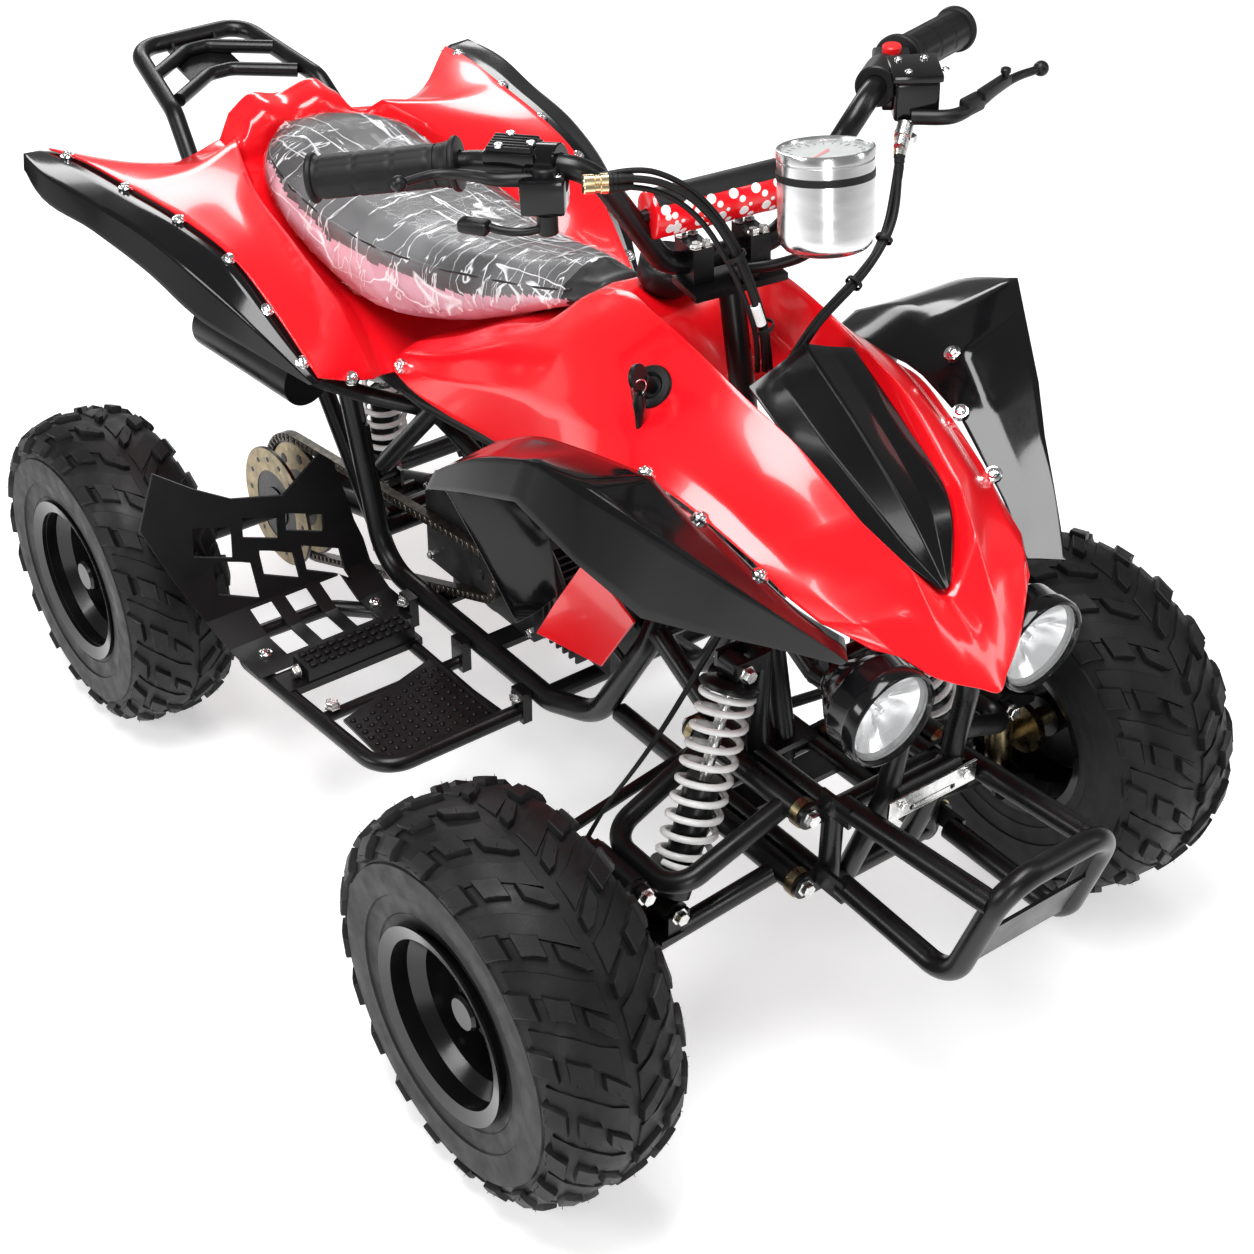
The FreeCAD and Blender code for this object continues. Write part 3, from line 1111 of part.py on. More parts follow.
def bar_tube(diameter):
    """Bent tube along the whole bar."""
    points = [(-x, y, z) for x, y, z in BAR_POINTS[:0:-1]] + BAR_POINTS[1:]
    return bent_tube(points, diameter, 46)


def handlebar():
    """Bent tube bar with its two clamps and its crossbar."""
    bar = bar_tube(BAR_DIAMETER)
    clamps = [Part.makeBox(24, 44, 40, vec(x - 12, -352, STEM_TOP[2] + 8 + SEAT_GAP)) for x in (-34, 34)]
    end = riser_at(CROSSBAR_Z)
    crossbar = rod((-end.x, end.y, end.z), tuple(end), CROSSBAR_DIAMETER)
    return turned(fused([bar, crossbar] + clamps))


def grips():
    """Rubber grip with its inner flange on each end of the bar."""
    a = vec(*BAR_POINTS[-1])
    along = vec(*BAR_POINTS[-2]) - a
    along.normalize()
    bore = BAR_DIAMETER / 2 + SEAT_GAP
    sleeve = revolved([(bore, 0), (GRIP_DIAMETER / 2 + 2, 0), (GRIP_DIAMETER / 2 + 2, 6), (GRIP_DIAMETER / 2, 10),
                       (GRIP_DIAMETER / 2 - 2, GRIP_LENGTH - 8), (GRIP_FLANGE_RADIUS, GRIP_LENGTH - 8),
                       (GRIP_FLANGE_RADIUS, GRIP_LENGTH - 2), (bore, GRIP_LENGTH - 2)], tuple(a), tuple(along))
    return turned(both_sides(sleeve))


def crossbar_pad():
    end = riser_at(CROSSBAR_Z)
    reach = end.x - BAR_DIAMETER
    ends = ((-reach, end.y, end.z), (reach, end.y, end.z))
    pad = rod(*ends, PAD_DIAMETER).cut(rod(*ends, CROSSBAR_DIAMETER + 2 * SEAT_GAP))
    return turned(pad.cut(bar_tube(BAR_DIAMETER + 3)))


def gauge_pod():
    """Round instrument can with a rounded foot, on its bracket."""
    half = GAUGE_DIAMETER / 2
    profile = [(0, 0), (half - 16, 0), (half - 4, 8), (half, 22), (half, GAUGE_HEIGHT - 3), (half - 3, GAUGE_HEIGHT),
               (0, GAUGE_HEIGHT)]
    can = revolved(profile, GAUGE_BASE, (-0.05, -0.06, 1))
    stalk = rod((GAUGE_BASE[0], GAUGE_BASE[1] + 12, GAUGE_BASE[2] + 12), (8, -364, 912), 12)
    foot = box_between((-6, -373, STEM_TOP[2] + 8 + SEAT_GAP), (20, -356, 918))
    return turned(fused([can, stalk, foot]))


def bar_ring(hand, distance, length, radius):
    """Clamp ring on the bar's upper run, from a distance past the riser's bend; hand is +1 on the left side."""
    a = vec(*BAR_POINTS[2])
    along = vec(*BAR_POINTS[3]) - a
    along.normalize()
    bore = BAR_DIAMETER / 2 + SEAT_GAP
    start = a + along * distance
    ring = revolved([(bore, 0), (radius, 0), (radius, length), (bore, length)], tuple(start), tuple(along))
    return ring if hand > 0 else mirrored(ring)


def cable_barrel(route, anchor):
    """Barrel that a cable bundle leaves, on a neck from the perch."""
    start = vec(*route[0])
    run = vec(*route[1]) - start
    run.normalize()
    barrel = Part.makeCylinder(CABLE_BUNDLE_DIAMETER / 2 + 1.5, 26, start - run * (26 + SEAT_GAP), run)
    neck = rod(tuple(turned(Part.Vertex(*anchor)).Point), tuple(start - run * 16), 13)
    return [barrel, neck]


def lever(points):
    """Ball-ended hand lever."""
    return [bent_tube(points, 11, 30), Part.makeSphere(9, vec(*points[-1]))]


def on_bar(shapes):
    """Pieces round the bar, cut clear of its tube and turned with it."""
    return turned(fused(shapes).cut(bar_tube(BAR_DIAMETER + 2 * SEAT_GAP)))


def controls_right():
    """Right perch block with its lever, thumb throttle, upper box and cable barrel."""
    pieces = [bar_ring(-1, 30, 40, 23)] + lever(LEVER_RIGHT)
    pieces.append(box_between((-212, -366, 1018), (-158, -300, 1052)))
    pieces.append(Part.makeCylinder(16, 10, vec(-184, -326, 1050), vec(0, 0, 1)))
    pieces.append(box_between((-222, -326, 1066), (-172, -262, 1088)))
    pieces.append(rod((-200, -334, 1022), (-200, -334, 1004), 22))
    pieces.append(bent_tube([(-200, -334, 1010), (-232, -322, 1008), (-266, -294, 1010)], 14, 24))
    return fused([on_bar(pieces)] + cable_barrel(CABLES_RIGHT, (-176, -346, 1030)))


def controls_left():
    """Left perch with its lever, reservoir box, switch and cable barrel."""
    pieces = [bar_ring(1, 46, 52, 23)] + lever(LEVER_LEFT)
    pieces.append(box_between((208, -356, 1028), (256, -298, 1076)))
    pieces.append(box_between((214, -312, 1036), (236, -262, 1060)))
    pieces.append(box_between((214, -290, 1064), (256, -256, 1082)))
    pieces.append(rod((216, -352, 1032), (184, -366, 1020), 20))
    return fused([on_bar(pieces)] + cable_barrel(CABLES_LEFT, (186, -364, 1022)))


CABLES_RIGHT = [
    (-172, -356, 1058), (-142, -370, 1056), (-110, -388, 1042), (-84, -408, 1016), (-66, -430, 972),
    (-52, -443, 926), (-36, -447, 884), (-24, -440, 846),
]
CABLES_LEFT = [
    (180, -402, 1010), (168, -414, 978), (150, -428, 948), (120, -438, 922), (86, -446, 904), (54, -450, 888),
    (30, -448, 866), (16, -442, 840),
]
BRAKE_HOSE = [
    (-76, -476, 584), (-106, -472, 540), (-140, -470, 492), (-180, -474, 452), (-226, -482, 422), (-268, -486, 396),
    (-292, -484, 362),
]


def cord(name, points, diameter):
    """Loose cable: short runs joined by arcs as large as the runs allow."""
    limit = 10 * max((vec(*b) - vec(*a)).Length for a, b in zip(points, points[1:]))
    print(name, "bend radii", [round(radius) for radius in bend_radii(points, limit)])
    return bent_tube(points, diameter, limit)


def key_switch():
    """Ignition lock and key on the right of the cowl."""
    lock = revolved([(0, -14), (LOCK_RADIUS, -14), (LOCK_RADIUS, 10), (0, 10)], LOCK_CENTRE, LOCK_AXIS)
    key = revolved([(0, 9), (8, 9), (8, 34), (0, 34)], LOCK_CENTRE, LOCK_AXIS)
    return fused([lock, key])


def nodes():
    """Every node of the quad by name."""
    parts = {
        "frame": frame(),
        "bumper": bumper(),
        "front_plate": front_plate(),
        "rear_rack": rear_rack(),
        "footrests": footrests(),
        "heel_guards": heel_guards(),
        "front_cowl": front_cowl(),
        "hood_insert": hood_insert(),
        "front_fenders": front_fenders(),
        "rear_body": rear_body(),
        "rear_trims": rear_trims(),
        "side_covers": side_covers(),
        "seat": seat(),
        "fuel_cap": fuel_cap(),
        "headlights": headlights(),
        "lenses": lenses(),
        "engine": engine(),
        "silencer": silencer(),
        "swing_arm": swing_arm(),
        "drive_chain": drive_chain(),
        "rear_axle": rear_axle(),
        "shocks": shocks(),
        "springs": springs(),
        "upper_arms": upper_arms(),
        "lower_arms": lower_arms(),
        "hub_carriers": hub_carriers(),
        "steering_stem": steering_stem(),
        "handlebar": handlebar(),
        "grips": grips(),
        "crossbar_pad": crossbar_pad(),
        "gauge_pod": gauge_pod(),
        "controls_right": controls_right(),
        "controls_left": controls_left(),
        "key_switch": key_switch(),
        "arm_bushes": arm_bushes(),
        "cables_right": cord("cables_right", CABLES_RIGHT, CABLE_BUNDLE_DIAMETER),
        "cables_left": cord("cables_left", CABLES_LEFT, CABLE_BUNDLE_DIAMETER),
        "brake_hose": cord("brake_hose", BRAKE_HOSE, BRAKE_HOSE_DIAMETER),
    }
    for side, name in ((-1, "right"), (1, "left")):
        front = (side * FRONT_HALF_TRACK, FRONT_AXLE_Y, FRONT_WHEEL_Z)
        rear = (side * REAR_HALF_TRACK, REAR_AXLE_Y, REAR_WHEEL_Z)
        parts["front_tyre_" + name] = tyre(FRONT_TYRE_RADIUS, FRONT_TYRE_WIDTH, FRONT_RIM_WIDTH, FRONT_RIM_SHIFT,
                                           FRONT_PITCHES, front, side)
        parts["front_rim_" + name] = rim(FRONT_RIM_WIDTH, FRONT_RIM_SHIFT, FRONT_DISC_OFFSET, front, side, True)
        parts["rear_tyre_" + name] = tyre(REAR_TYRE_RADIUS, REAR_TYRE_WIDTH, REAR_RIM_WIDTH, REAR_RIM_SHIFT,
                                          REAR_PITCHES, rear, side)
        parts["rear_rim_" + name] = rim(REAR_RIM_WIDTH, REAR_RIM_SHIFT, REAR_DISC_OFFSET, rear, side, False)
        hand = mirrored if side < 0 else (lambda shape: shape)
        parts["knuckle_" + name] = hand(knuckle())
        parts["tie_rod_" + name] = hand(tie_rod())
    return parts


def main():
    os.makedirs("parts", exist_ok=True)
    for name, shape in nodes().items():
        if not shape.isValid():
            print("not valid:", name)
        shape.exportStep(os.path.join("parts", name + ".step"))


main()
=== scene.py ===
import json
import math

import bmesh
import bpy
import numpy as np
from mathutils import Matrix, Vector, noise
from mathutils.bvhtree import BVHTree

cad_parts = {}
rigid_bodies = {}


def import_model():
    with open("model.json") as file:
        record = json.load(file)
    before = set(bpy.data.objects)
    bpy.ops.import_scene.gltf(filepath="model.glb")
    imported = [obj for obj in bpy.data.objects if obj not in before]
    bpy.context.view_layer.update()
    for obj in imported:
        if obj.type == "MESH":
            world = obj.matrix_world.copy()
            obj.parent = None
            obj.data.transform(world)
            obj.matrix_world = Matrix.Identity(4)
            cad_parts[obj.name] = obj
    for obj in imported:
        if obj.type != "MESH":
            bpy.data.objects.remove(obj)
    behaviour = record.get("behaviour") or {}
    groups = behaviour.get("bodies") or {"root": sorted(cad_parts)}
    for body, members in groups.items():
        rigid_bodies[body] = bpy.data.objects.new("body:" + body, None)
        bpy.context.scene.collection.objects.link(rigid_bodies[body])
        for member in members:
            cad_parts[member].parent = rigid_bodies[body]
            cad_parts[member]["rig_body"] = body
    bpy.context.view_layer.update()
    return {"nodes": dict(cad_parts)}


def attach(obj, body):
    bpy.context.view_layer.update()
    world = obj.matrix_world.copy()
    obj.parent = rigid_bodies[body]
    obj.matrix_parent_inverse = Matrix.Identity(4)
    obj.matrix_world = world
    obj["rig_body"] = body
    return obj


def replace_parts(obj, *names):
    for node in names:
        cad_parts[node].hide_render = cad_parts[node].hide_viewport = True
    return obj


# The quad is described in millimetres in the row frame and scaled to metres when a mesh is made.
MM = 0.001
UP = (0, 0, 1)
PANEL_WALL = 3.2

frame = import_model()
nodes = frame["nodes"]
scene = bpy.context.scene


def new_object(name, data):
    """Object in the scene from a mesh, curve, light or camera."""
    made = bpy.data.objects.new(name, data)
    scene.collection.objects.link(made)
    return made


def around(count):
    """Angles of equal steps round a full turn."""
    return [2 * math.pi * k / count for k in range(count)]


def polar(radius, angle, along=0.0):
    """Point at a radius, an angle round and a distance along the axis."""
    return Vector((radius * math.cos(angle), radius * math.sin(angle), along))


def turn_to(axis):
    """Rotation that takes the upward axis to another."""
    return Vector((0, 0, 1)).rotation_difference(Vector(axis).normalized())


# Camera at the photograph's place

IMAGE_WIDTH = 1254
SENSOR_WIDTH = 36.0
FOCAL_PIXELS = 2204.7
PRINCIPAL_POINT = (560.7, 613.6)
CAMERA_PLACE = Vector((-1394.7, -1964.8, 1943.3)) * MM
CAMERA_AZIMUTH = math.radians(-35.85)
CAMERA_ELEVATION = math.radians(34.75)
CAMERA_ROLL = math.radians(-0.37)


def make_camera():
    """Camera at the photograph's place, angle and focal length."""
    lens = bpy.data.cameras.new("Camera")
    camera = new_object("Camera", lens)
    a, e = CAMERA_AZIMUTH, CAMERA_ELEVATION
    back = Vector((math.sin(a) * math.cos(e), -math.cos(a) * math.cos(e), math.sin(e)))
    level = Vector((math.cos(a), math.sin(a), 0))
    raised = back.cross(level)
    right = level * math.cos(CAMERA_ROLL) + raised * math.sin(CAMERA_ROLL)
    up = back.cross(right)
    camera.rotation_mode = "QUATERNION"
    camera.rotation_quaternion = Matrix((right, up, back)).transposed().to_quaternion()
    camera.location = CAMERA_PLACE
    lens.sensor_width = SENSOR_WIDTH
    lens.lens = FOCAL_PIXELS / IMAGE_WIDTH * SENSOR_WIDTH
    lens.shift_x = (IMAGE_WIDTH / 2 - PRINCIPAL_POINT[0]) / IMAGE_WIDTH
    lens.shift_y = (PRINCIPAL_POINT[1] - IMAGE_WIDTH / 2) / IMAGE_WIDTH
    lens.clip_start = 0.05
    lens.clip_end = 200
    scene.camera = camera


make_camera()


# Light

# Name, place, target, size and power of each soft light
LIGHTS = (
    ("KeyTop", (-0.7, -0.5, 3.4), (0, 0, 0.4), (1.1, 2.2), 118),
    ("FrontLeft", (2.3, -2.6, 2.0), (0, -0.3, 0.5), (0.5, 1.8), 16),
    ("NearSide", (-3.2, 0.6, 1.9), (0, 0, 0.5), (1.8, 0.6), 42),
    ("NearFront", (-1.9, -3.0, 1.2), (0, -0.2, 0.4), (0.5, 1.4), 27),
    ("StripWide", (0.62, -1.7, 2.9), (0, -0.6, 0.75), (0.1, 1.6), 5),
    ("StripNarrow", (1.2, -1.5, 2.8), (0, -0.6, 0.75), (0.06, 1.6), 3),
    ("Rear", (1.2, 3.2, 2.4), (0, 0.2, 0.6), (2.2, 0.8), 40),
)


def area_light(name, place, target, size, power):
    """Soft light that points at a target."""
    data = bpy.data.lights.new(name, "AREA")
    data.shape = "RECTANGLE"
    data.size, data.size_y = size
    data.energy = power
    light = new_object(name, data)
    light.location = place
    light.rotation_mode = "QUATERNION"
    light.rotation_quaternion = (Vector(target) - Vector(place)).to_track_quat("-Z", "Y")


def light_scene():
    """Bright room with soft lights above and in front."""
    world = bpy.data.worlds.new("Studio")
    scene.world = world
    world.use_nodes = True
    sky = world.node_tree.nodes["Background"]
    sky.inputs["Color"].default_value = (1, 1, 1, 1)
    sky.inputs["Strength"].default_value = 0.24
    for row in LIGHTS:
        area_light(*row)
    scene.view_settings.view_transform = "Standard"
    scene.view_settings.look = "None"


light_scene()


# Materials

def shader_of(material):
    """The material's own shader node."""
    return material.node_tree.nodes["Principled BSDF"]


def plain_material(name, colour, roughness, metallic=0.0, specular=0.5, coat=0.0):
    """Principled material with its constant values."""
    material = bpy.data.materials.new(name)
    material.use_nodes = True
    for socket, value in (("Base Color", (*colour, 1)), ("Roughness", roughness), ("Metallic", metallic),
                          ("Specular IOR Level", specular), ("Coat Weight", coat), ("Coat Roughness", 0.06)):
        shader_of(material).inputs[socket].default_value = value
    return material


def noise_node(material, scale, detail, stretch=(1, 1, 1)):
    """Noise in the object's own coordinates; stretch makes streaks."""
    tree = material.node_tree
    place = tree.nodes.new("ShaderNodeTexCoord")
    mapping = tree.nodes.new("ShaderNodeMapping")
    mapping.inputs["Scale"].default_value = stretch
    texture = tree.nodes.new("ShaderNodeTexNoise")
    texture.inputs["Scale"].default_value = scale
    texture.inputs["Detail"].default_value = detail
    tree.links.new(place.outputs["Object"], mapping.inputs["Vector"])
    tree.links.new(mapping.outputs["Vector"], texture.inputs["Vector"])
    return texture


def add_grain(material, scale, strength, depth, detail=3.0, stretch=(1, 1, 1)):
    """Fine surface bumps."""
    tree = material.node_tree
    texture = noise_node(material, scale, detail, stretch)
    bump = tree.nodes.new("ShaderNodeBump")
    bump.inputs["Strength"].default_value = strength
    bump.inputs["Distance"].default_value = depth
    tree.links.new(texture.outputs["Fac"], bump.inputs["Height"])
    earlier = shader_of(material).inputs["Normal"]
    if earlier.is_linked:
        tree.links.new(earlier.links[0].from_socket, bump.inputs["Normal"])
    tree.links.new(bump.outputs["Normal"], shader_of(material).inputs["Normal"])


def ramp_node(material, texture, stops):
    """Colour ramp over a texture, from (position, colour) stops."""
    tree = material.node_tree
    ramp = tree.nodes.new("ShaderNodeValToRGB")
    elements = ramp.color_ramp.elements
    for number, (position, colour) in enumerate(stops):
        stop = elements[number] if number < 2 else elements.new(position)
        stop.position = position
        stop.color = (*colour, 1)
    tree.links.new(texture.outputs["Fac"], ramp.inputs["Fac"])
    return ramp.outputs["Color"]


def add_tone(material, low, high, scale, detail=4.0, stretch=(1, 1, 1)):
    """Slow change of colour between two tones."""
    tone = ramp_node(material, noise_node(material, scale, detail, stretch), ((0.35, low), (0.65, high)))
    material.node_tree.links.new(tone, shader_of(material).inputs["Base Color"])


def range_node(material, texture, source, target):
    """Map Range node that takes a texture from one range to another."""
    tree = material.node_tree
    spread = tree.nodes.new("ShaderNodeMapRange")
    for name, value in zip(("From Min", "From Max", "To Min", "To Max"), source + target):
        spread.inputs[name].default_value = value
    tree.links.new(texture.outputs["Fac"], spread.inputs["Value"])
    return spread.outputs["Result"]


def add_gloss_change(material, low, high, scale, stretch=(1, 1, 1)):
    """Roughness that wanders between two values."""
    spread = range_node(material, noise_node(material, scale, 3.0, stretch), (0.3, 0.7), (low, high))
    material.node_tree.links.new(spread, shader_of(material).inputs["Roughness"])


# Key: name, colour, roughness, (metallic, specular, coat), then tone, grain and gloss where it has them
MATERIALS = {
    "red": ("RedPlastic", (0.80, 0.004, 0.010), 0.2, (0, 0.4, 0.45),
            ((0.77, 0.004, 0.009), (0.84, 0.005, 0.012), 3.0), (240, 0.05, 0.0006), (0.17, 0.25, 9)),
    "gloss": ("BlackGloss", (0.0035, 0.0035, 0.004), 0.11, (0, 0.24, 0.14),
              ((0.003, 0.003, 0.0034), (0.0045, 0.0045, 0.005), 6.0), (200, 0.04, 0.0006), (0.1, 0.17, 11)),
    "plastic": ("BlackPlastic", (0.005, 0.005, 0.0054), 0.38, (0, 0.26, 0),
                ((0.0036, 0.0036, 0.004), (0.0064, 0.0064, 0.007), 14), (900, 0.22, 0.0005)),
    "powder": ("FrameBlack", (0.0055, 0.0055, 0.006), 0.3, (0, 0.3, 0),
               ((0.0032, 0.0032, 0.0036), (0.0052, 0.0052, 0.0057), 18), (700, 0.16, 0.0006),
               (0.25, 0.36, 25)),
    "enamel": ("RimBlack", (0.0045, 0.0045, 0.005), 0.2, (0, 0.3, 0.12), (), (320, 0.05, 0.0005),
               (0.16, 0.26, 16)),
    "tyre": ("TyreRubber", (0.005, 0.005, 0.0054), 0.46, (0, 0.24, 0),
             ((0.0036, 0.0036, 0.004), (0.0072, 0.0072, 0.0077), 26), (520, 0.28, 0.0008, 6),
             (0.42, 0.6, 40)),
    "rubber": ("GripRubber", (0.005, 0.005, 0.0052), 0.5, (0, 0.24, 0),
               ((0.004, 0.004, 0.004), (0.007, 0.007, 0.007), 30), (1400, 0.35, 0.0004)),
    "spring": ("SpringWhite", (0.86, 0.86, 0.85), 0.26, (0, 0.5, 0.2),
               ((0.80, 0.80, 0.79), (0.9, 0.9, 0.89), 30), (500, 0.1, 0.0004)),
    "steel": ("ZincSteel", (0.66, 0.66, 0.65), 0.24, (1, 0.5, 0),
              ((0.55, 0.56, 0.56), (0.76, 0.75, 0.72), 90), (900, 0.15, 0.0003), (0.18, 0.32, 120)),
    "chrome": ("Chrome", (0.84, 0.84, 0.85), 0.1, (1, 0.5, 0),
               ((0.78, 0.78, 0.79), (0.9, 0.9, 0.9), 120), (600, 0.05, 0.0003)),
    "alloy": ("TurnedAlloy", (0.74, 0.74, 0.75), 0.2, (1, 0.5, 0),
              ((0.66, 0.66, 0.67), (0.80, 0.80, 0.80), 12, 4.0, (1, 1, 5)),
              (60, 0.04, 0.0004, 3.0, (1, 1, 26)), (0.16, 0.26, 14, (1, 1, 8))),
    "cast": ("CastEngine", (0.03, 0.03, 0.031), 0.42, (0.6, 0.5, 0),
             ((0.018, 0.018, 0.019), (0.045, 0.045, 0.047), 34), (420, 0.5, 0.0009, 6)),
    "chain": ("ChainSteel", (0.11, 0.10, 0.09), 0.36, (1, 0.5, 0),
              ((0.07, 0.065, 0.06), (0.17, 0.155, 0.13), 110), (700, 0.2, 0.0004)),
    "bronze": ("YellowZinc", (0.26, 0.20, 0.11), 0.34, (1, 0.5, 0),
               ((0.19, 0.155, 0.095), (0.33, 0.26, 0.14), 60), (700, 0.25, 0.0004), (0.22, 0.4, 80)),
    "brass": ("GoldFitting", (0.78, 0.62, 0.36), 0.24, (1, 0.5, 0),
              ((0.72, 0.58, 0.34), (0.84, 0.70, 0.44), 90), (800, 0.12, 0.0003)),
    "switch": ("SwitchRed", (0.72, 0.01, 0.012), 0.35, (0, 0.4, 0),
               ((0.66, 0.009, 0.010), (0.78, 0.012, 0.014), 60), (900, 0.15, 0.0003)),
    "dots": ("PadDots", (0.85, 0.85, 0.84), 0.45, (0, 0.35, 0),
             ((0.80, 0.80, 0.79), (0.88, 0.88, 0.87), 80)),
    "glass": ("LampGlass", (0.95, 0.96, 0.97), 0.05, (0, 0.5, 0.4), (), (60, 0.04, 0.0006)),
    "reflector": ("Reflector", (0.88, 0.89, 0.9), 0.18, (0.9, 0.5, 0),
                  ((0.82, 0.83, 0.84), (0.93, 0.93, 0.94), 40), (120, 0.2, 0.0008)),
    "dial": ("Dial", (0.30, 0.32, 0.31), 0.5, (0, 0.3, 0),
             ((0.28, 0.30, 0.29), (0.33, 0.35, 0.33), 60)),
    "vinyl": ("SeatTop", (0.012, 0.012, 0.013), 0.42, (0, 0.35, 0),
              ((0.009, 0.009, 0.010), (0.017, 0.017, 0.018), 22), (620, 0.4, 0.0006, 5)),
    "side": ("SeatSide", (0.50, 0.24, 0.30), 0.45, (0, 0.35, 0),
             ((0.44, 0.19, 0.25), (0.58, 0.31, 0.37), 9), (620, 0.3, 0.0006, 5)),
}
GLASS_ALPHA = 0.28


def make_materials():
    """Every finish from its row in the table, and the seat's clear film."""
    made = {}
    for key, (name, colour, roughness, kind, *changes) in MATERIALS.items():
        made[key] = plain_material(name, colour, roughness, *kind)
        for add, values in zip((add_tone, add_grain, add_gloss_change), changes):
            if values:
                add(made[key], *values)
    shader_of(made["glass"]).inputs["Alpha"].default_value = GLASS_ALPHA
    made["film"] = film_material()
    return made


def film_material():
    """Clear wrinkled wrapping: nearly see-through, with white streaks painted along its creases as
    highlights.
    """
    film = plain_material("ClearFilm", (0.93, 0.93, 0.95), 0.14, coat=0.5)
    tree = film.node_tree

    def combined(operation, one, other):
        node = tree.nodes.new("ShaderNodeMath")
        node.operation = operation
        for socket, value in zip(node.inputs, (one, other)):
            if isinstance(value, float):
                socket.default_value = value
            else:
                tree.links.new(value, socket)
        return node.outputs[0]

    # The white streaks in the film's alpha are painted highlights along its creases.
    highlight_masks = []
    for scale, stretch, low, high in ((4.2, (5.0, 0.55, 2.4), 0.496, 0.512),
                                      (5.5, (0.5, 4.6, 1.6), 0.498, 0.508)):
        texture = noise_node(film, scale, 3.0, stretch)
        texture.inputs["Distortion"].default_value = 0.7
        highlight_masks.append(ramp_node(film, texture, ((low - 0.012, (0, 0, 0)), (low, (1, 1, 1)),
                                               (high, (0, 0, 0)))))
    veil = range_node(film, noise_node(film, 5.0, 2.0), (0.42, 0.75), (0.05, 0.22))
    # Painted highlights: the streak masks, up to 0.62 alpha of white.
    painted_highlights = combined("MULTIPLY", combined("MAXIMUM", *highlight_masks), 0.62)
    total = combined("ADD", painted_highlights, veil)
    total.node.use_clamp = True
    tree.links.new(total, shader_of(film).inputs["Alpha"])
    add_grain(film, 26, 0.5, 0.003, stretch=(1.6, 1, 1))
    return film


FINISH = make_materials()

NODE_FINISH = {
    "powder": "frame bumper rear_rack footrests silencer swing_arm rear_axle shocks upper_arms lower_arms "
              "hub_carriers steering_stem handlebar tie_rod_right tie_rod_left",
    "plastic": "heel_guards seat fuel_cap controls_right controls_left key_switch",
    "red": "front_cowl rear_body side_covers crossbar_pad",
    "gloss": "hood_insert front_fenders rear_trims headlights",
    "tyre": "front_tyre_right front_tyre_left rear_tyre_right rear_tyre_left",
    "enamel": "front_rim_right front_rim_left rear_rim_right rear_rim_left",
    "bronze": "arm_bushes knuckle_right knuckle_left",
    "rubber": "grips cables_right cables_left brake_hose",
    "steel": "front_plate", "chrome": "lenses", "cast": "engine", "chain": "drive_chain", "spring": "springs",
    "alloy": "gauge_pod",
}
SOFT_EDGED = ("heel_guards", "footrests", "side_covers", "engine", "front_plate", "fuel_cap")


def dress_nodes():
    """Gives every carried-over solid its finish, and the moulded ones soft edges."""
    for finish, names in NODE_FINISH.items():
        for name in names.split():
            mesh = nodes[name].data
            mesh.materials.clear()
            mesh.materials.append(FINISH[finish])
    for name in SOFT_EDGED:
        nodes[name].modifiers.new("Weld", "WELD").merge_threshold = 0.00001
        soften(nodes[name], 0.9, 50)


def soften(piece, width, degrees):
    """Rounds a piece's edges that are sharper than an angle."""
    bevel = piece.modifiers.new("SoftEdge", "BEVEL")
    bevel.width = width * MM
    bevel.segments = 2
    bevel.limit_method = "ANGLE"
    bevel.angle_limit = math.radians(degrees)


dress_nodes()


# Cables and hoses, on the routes of the part's source in metres

RIGHT_HARNESS = [
    (-0.172, -0.356, 1.060), (-0.142, -0.371, 1.060), (-0.109, -0.389, 1.046), (-0.083, -0.409, 1.019),
    (-0.064, -0.431, 0.974), (-0.050, -0.443, 0.927), (-0.034, -0.444, 0.882), (-0.022, -0.434, 0.834),
]
RIGHT_CABLE = [
    (-0.172, -0.356, 1.052), (-0.143, -0.368, 1.050), (-0.112, -0.385, 1.036), (-0.088, -0.404, 1.010),
    (-0.071, -0.426, 0.968), (-0.056, -0.439, 0.923), (-0.041, -0.441, 0.880), (-0.030, -0.431, 0.834),
]
LEFT_HARNESS = [
    (0.180, -0.402, 1.013), (0.170, -0.415, 0.980), (0.152, -0.430, 0.950), (0.121, -0.440, 0.925),
    (0.086, -0.448, 0.907), (0.054, -0.450, 0.891), (0.030, -0.446, 0.869), (0.016, -0.436, 0.832),
]
LEFT_CABLE = [
    (0.180, -0.400, 1.006), (0.166, -0.411, 0.975), (0.147, -0.424, 0.944), (0.118, -0.434, 0.918),
    (0.085, -0.443, 0.900), (0.053, -0.446, 0.884), (0.029, -0.442, 0.863), (0.019, -0.432, 0.832),
]
RIGHT_THIRD = [
    (-0.176, -0.348, 1.062), (-0.142, -0.363, 1.068), (-0.108, -0.382, 1.054), (-0.080, -0.402, 1.027),
    (-0.058, -0.425, 0.981), (-0.043, -0.438, 0.930), (-0.027, -0.441, 0.882), (-0.015, -0.434, 0.834),
]
LEFT_THIRD = [
    (0.184, -0.398, 1.014), (0.176, -0.409, 0.983), (0.158, -0.424, 0.954), (0.126, -0.436, 0.931),
    (0.090, -0.445, 0.914), (0.057, -0.448, 0.898), (0.032, -0.442, 0.874), (0.014, -0.430, 0.832),
]
FRONT_HOSE = [
    (-0.076, -0.476, 0.584), (-0.106, -0.472, 0.542), (-0.140, -0.470, 0.494), (-0.180, -0.474, 0.454),
    (-0.226, -0.482, 0.424), (-0.268, -0.486, 0.398), (-0.292, -0.484, 0.362),
]
FRONT_HOSE_TWIN = [
    (-0.080, -0.474, 0.581), (-0.109, -0.468, 0.537), (-0.142, -0.466, 0.489), (-0.182, -0.470, 0.448),
    (-0.227, -0.478, 0.418), (-0.266, -0.482, 0.393), (-0.288, -0.482, 0.360),
]


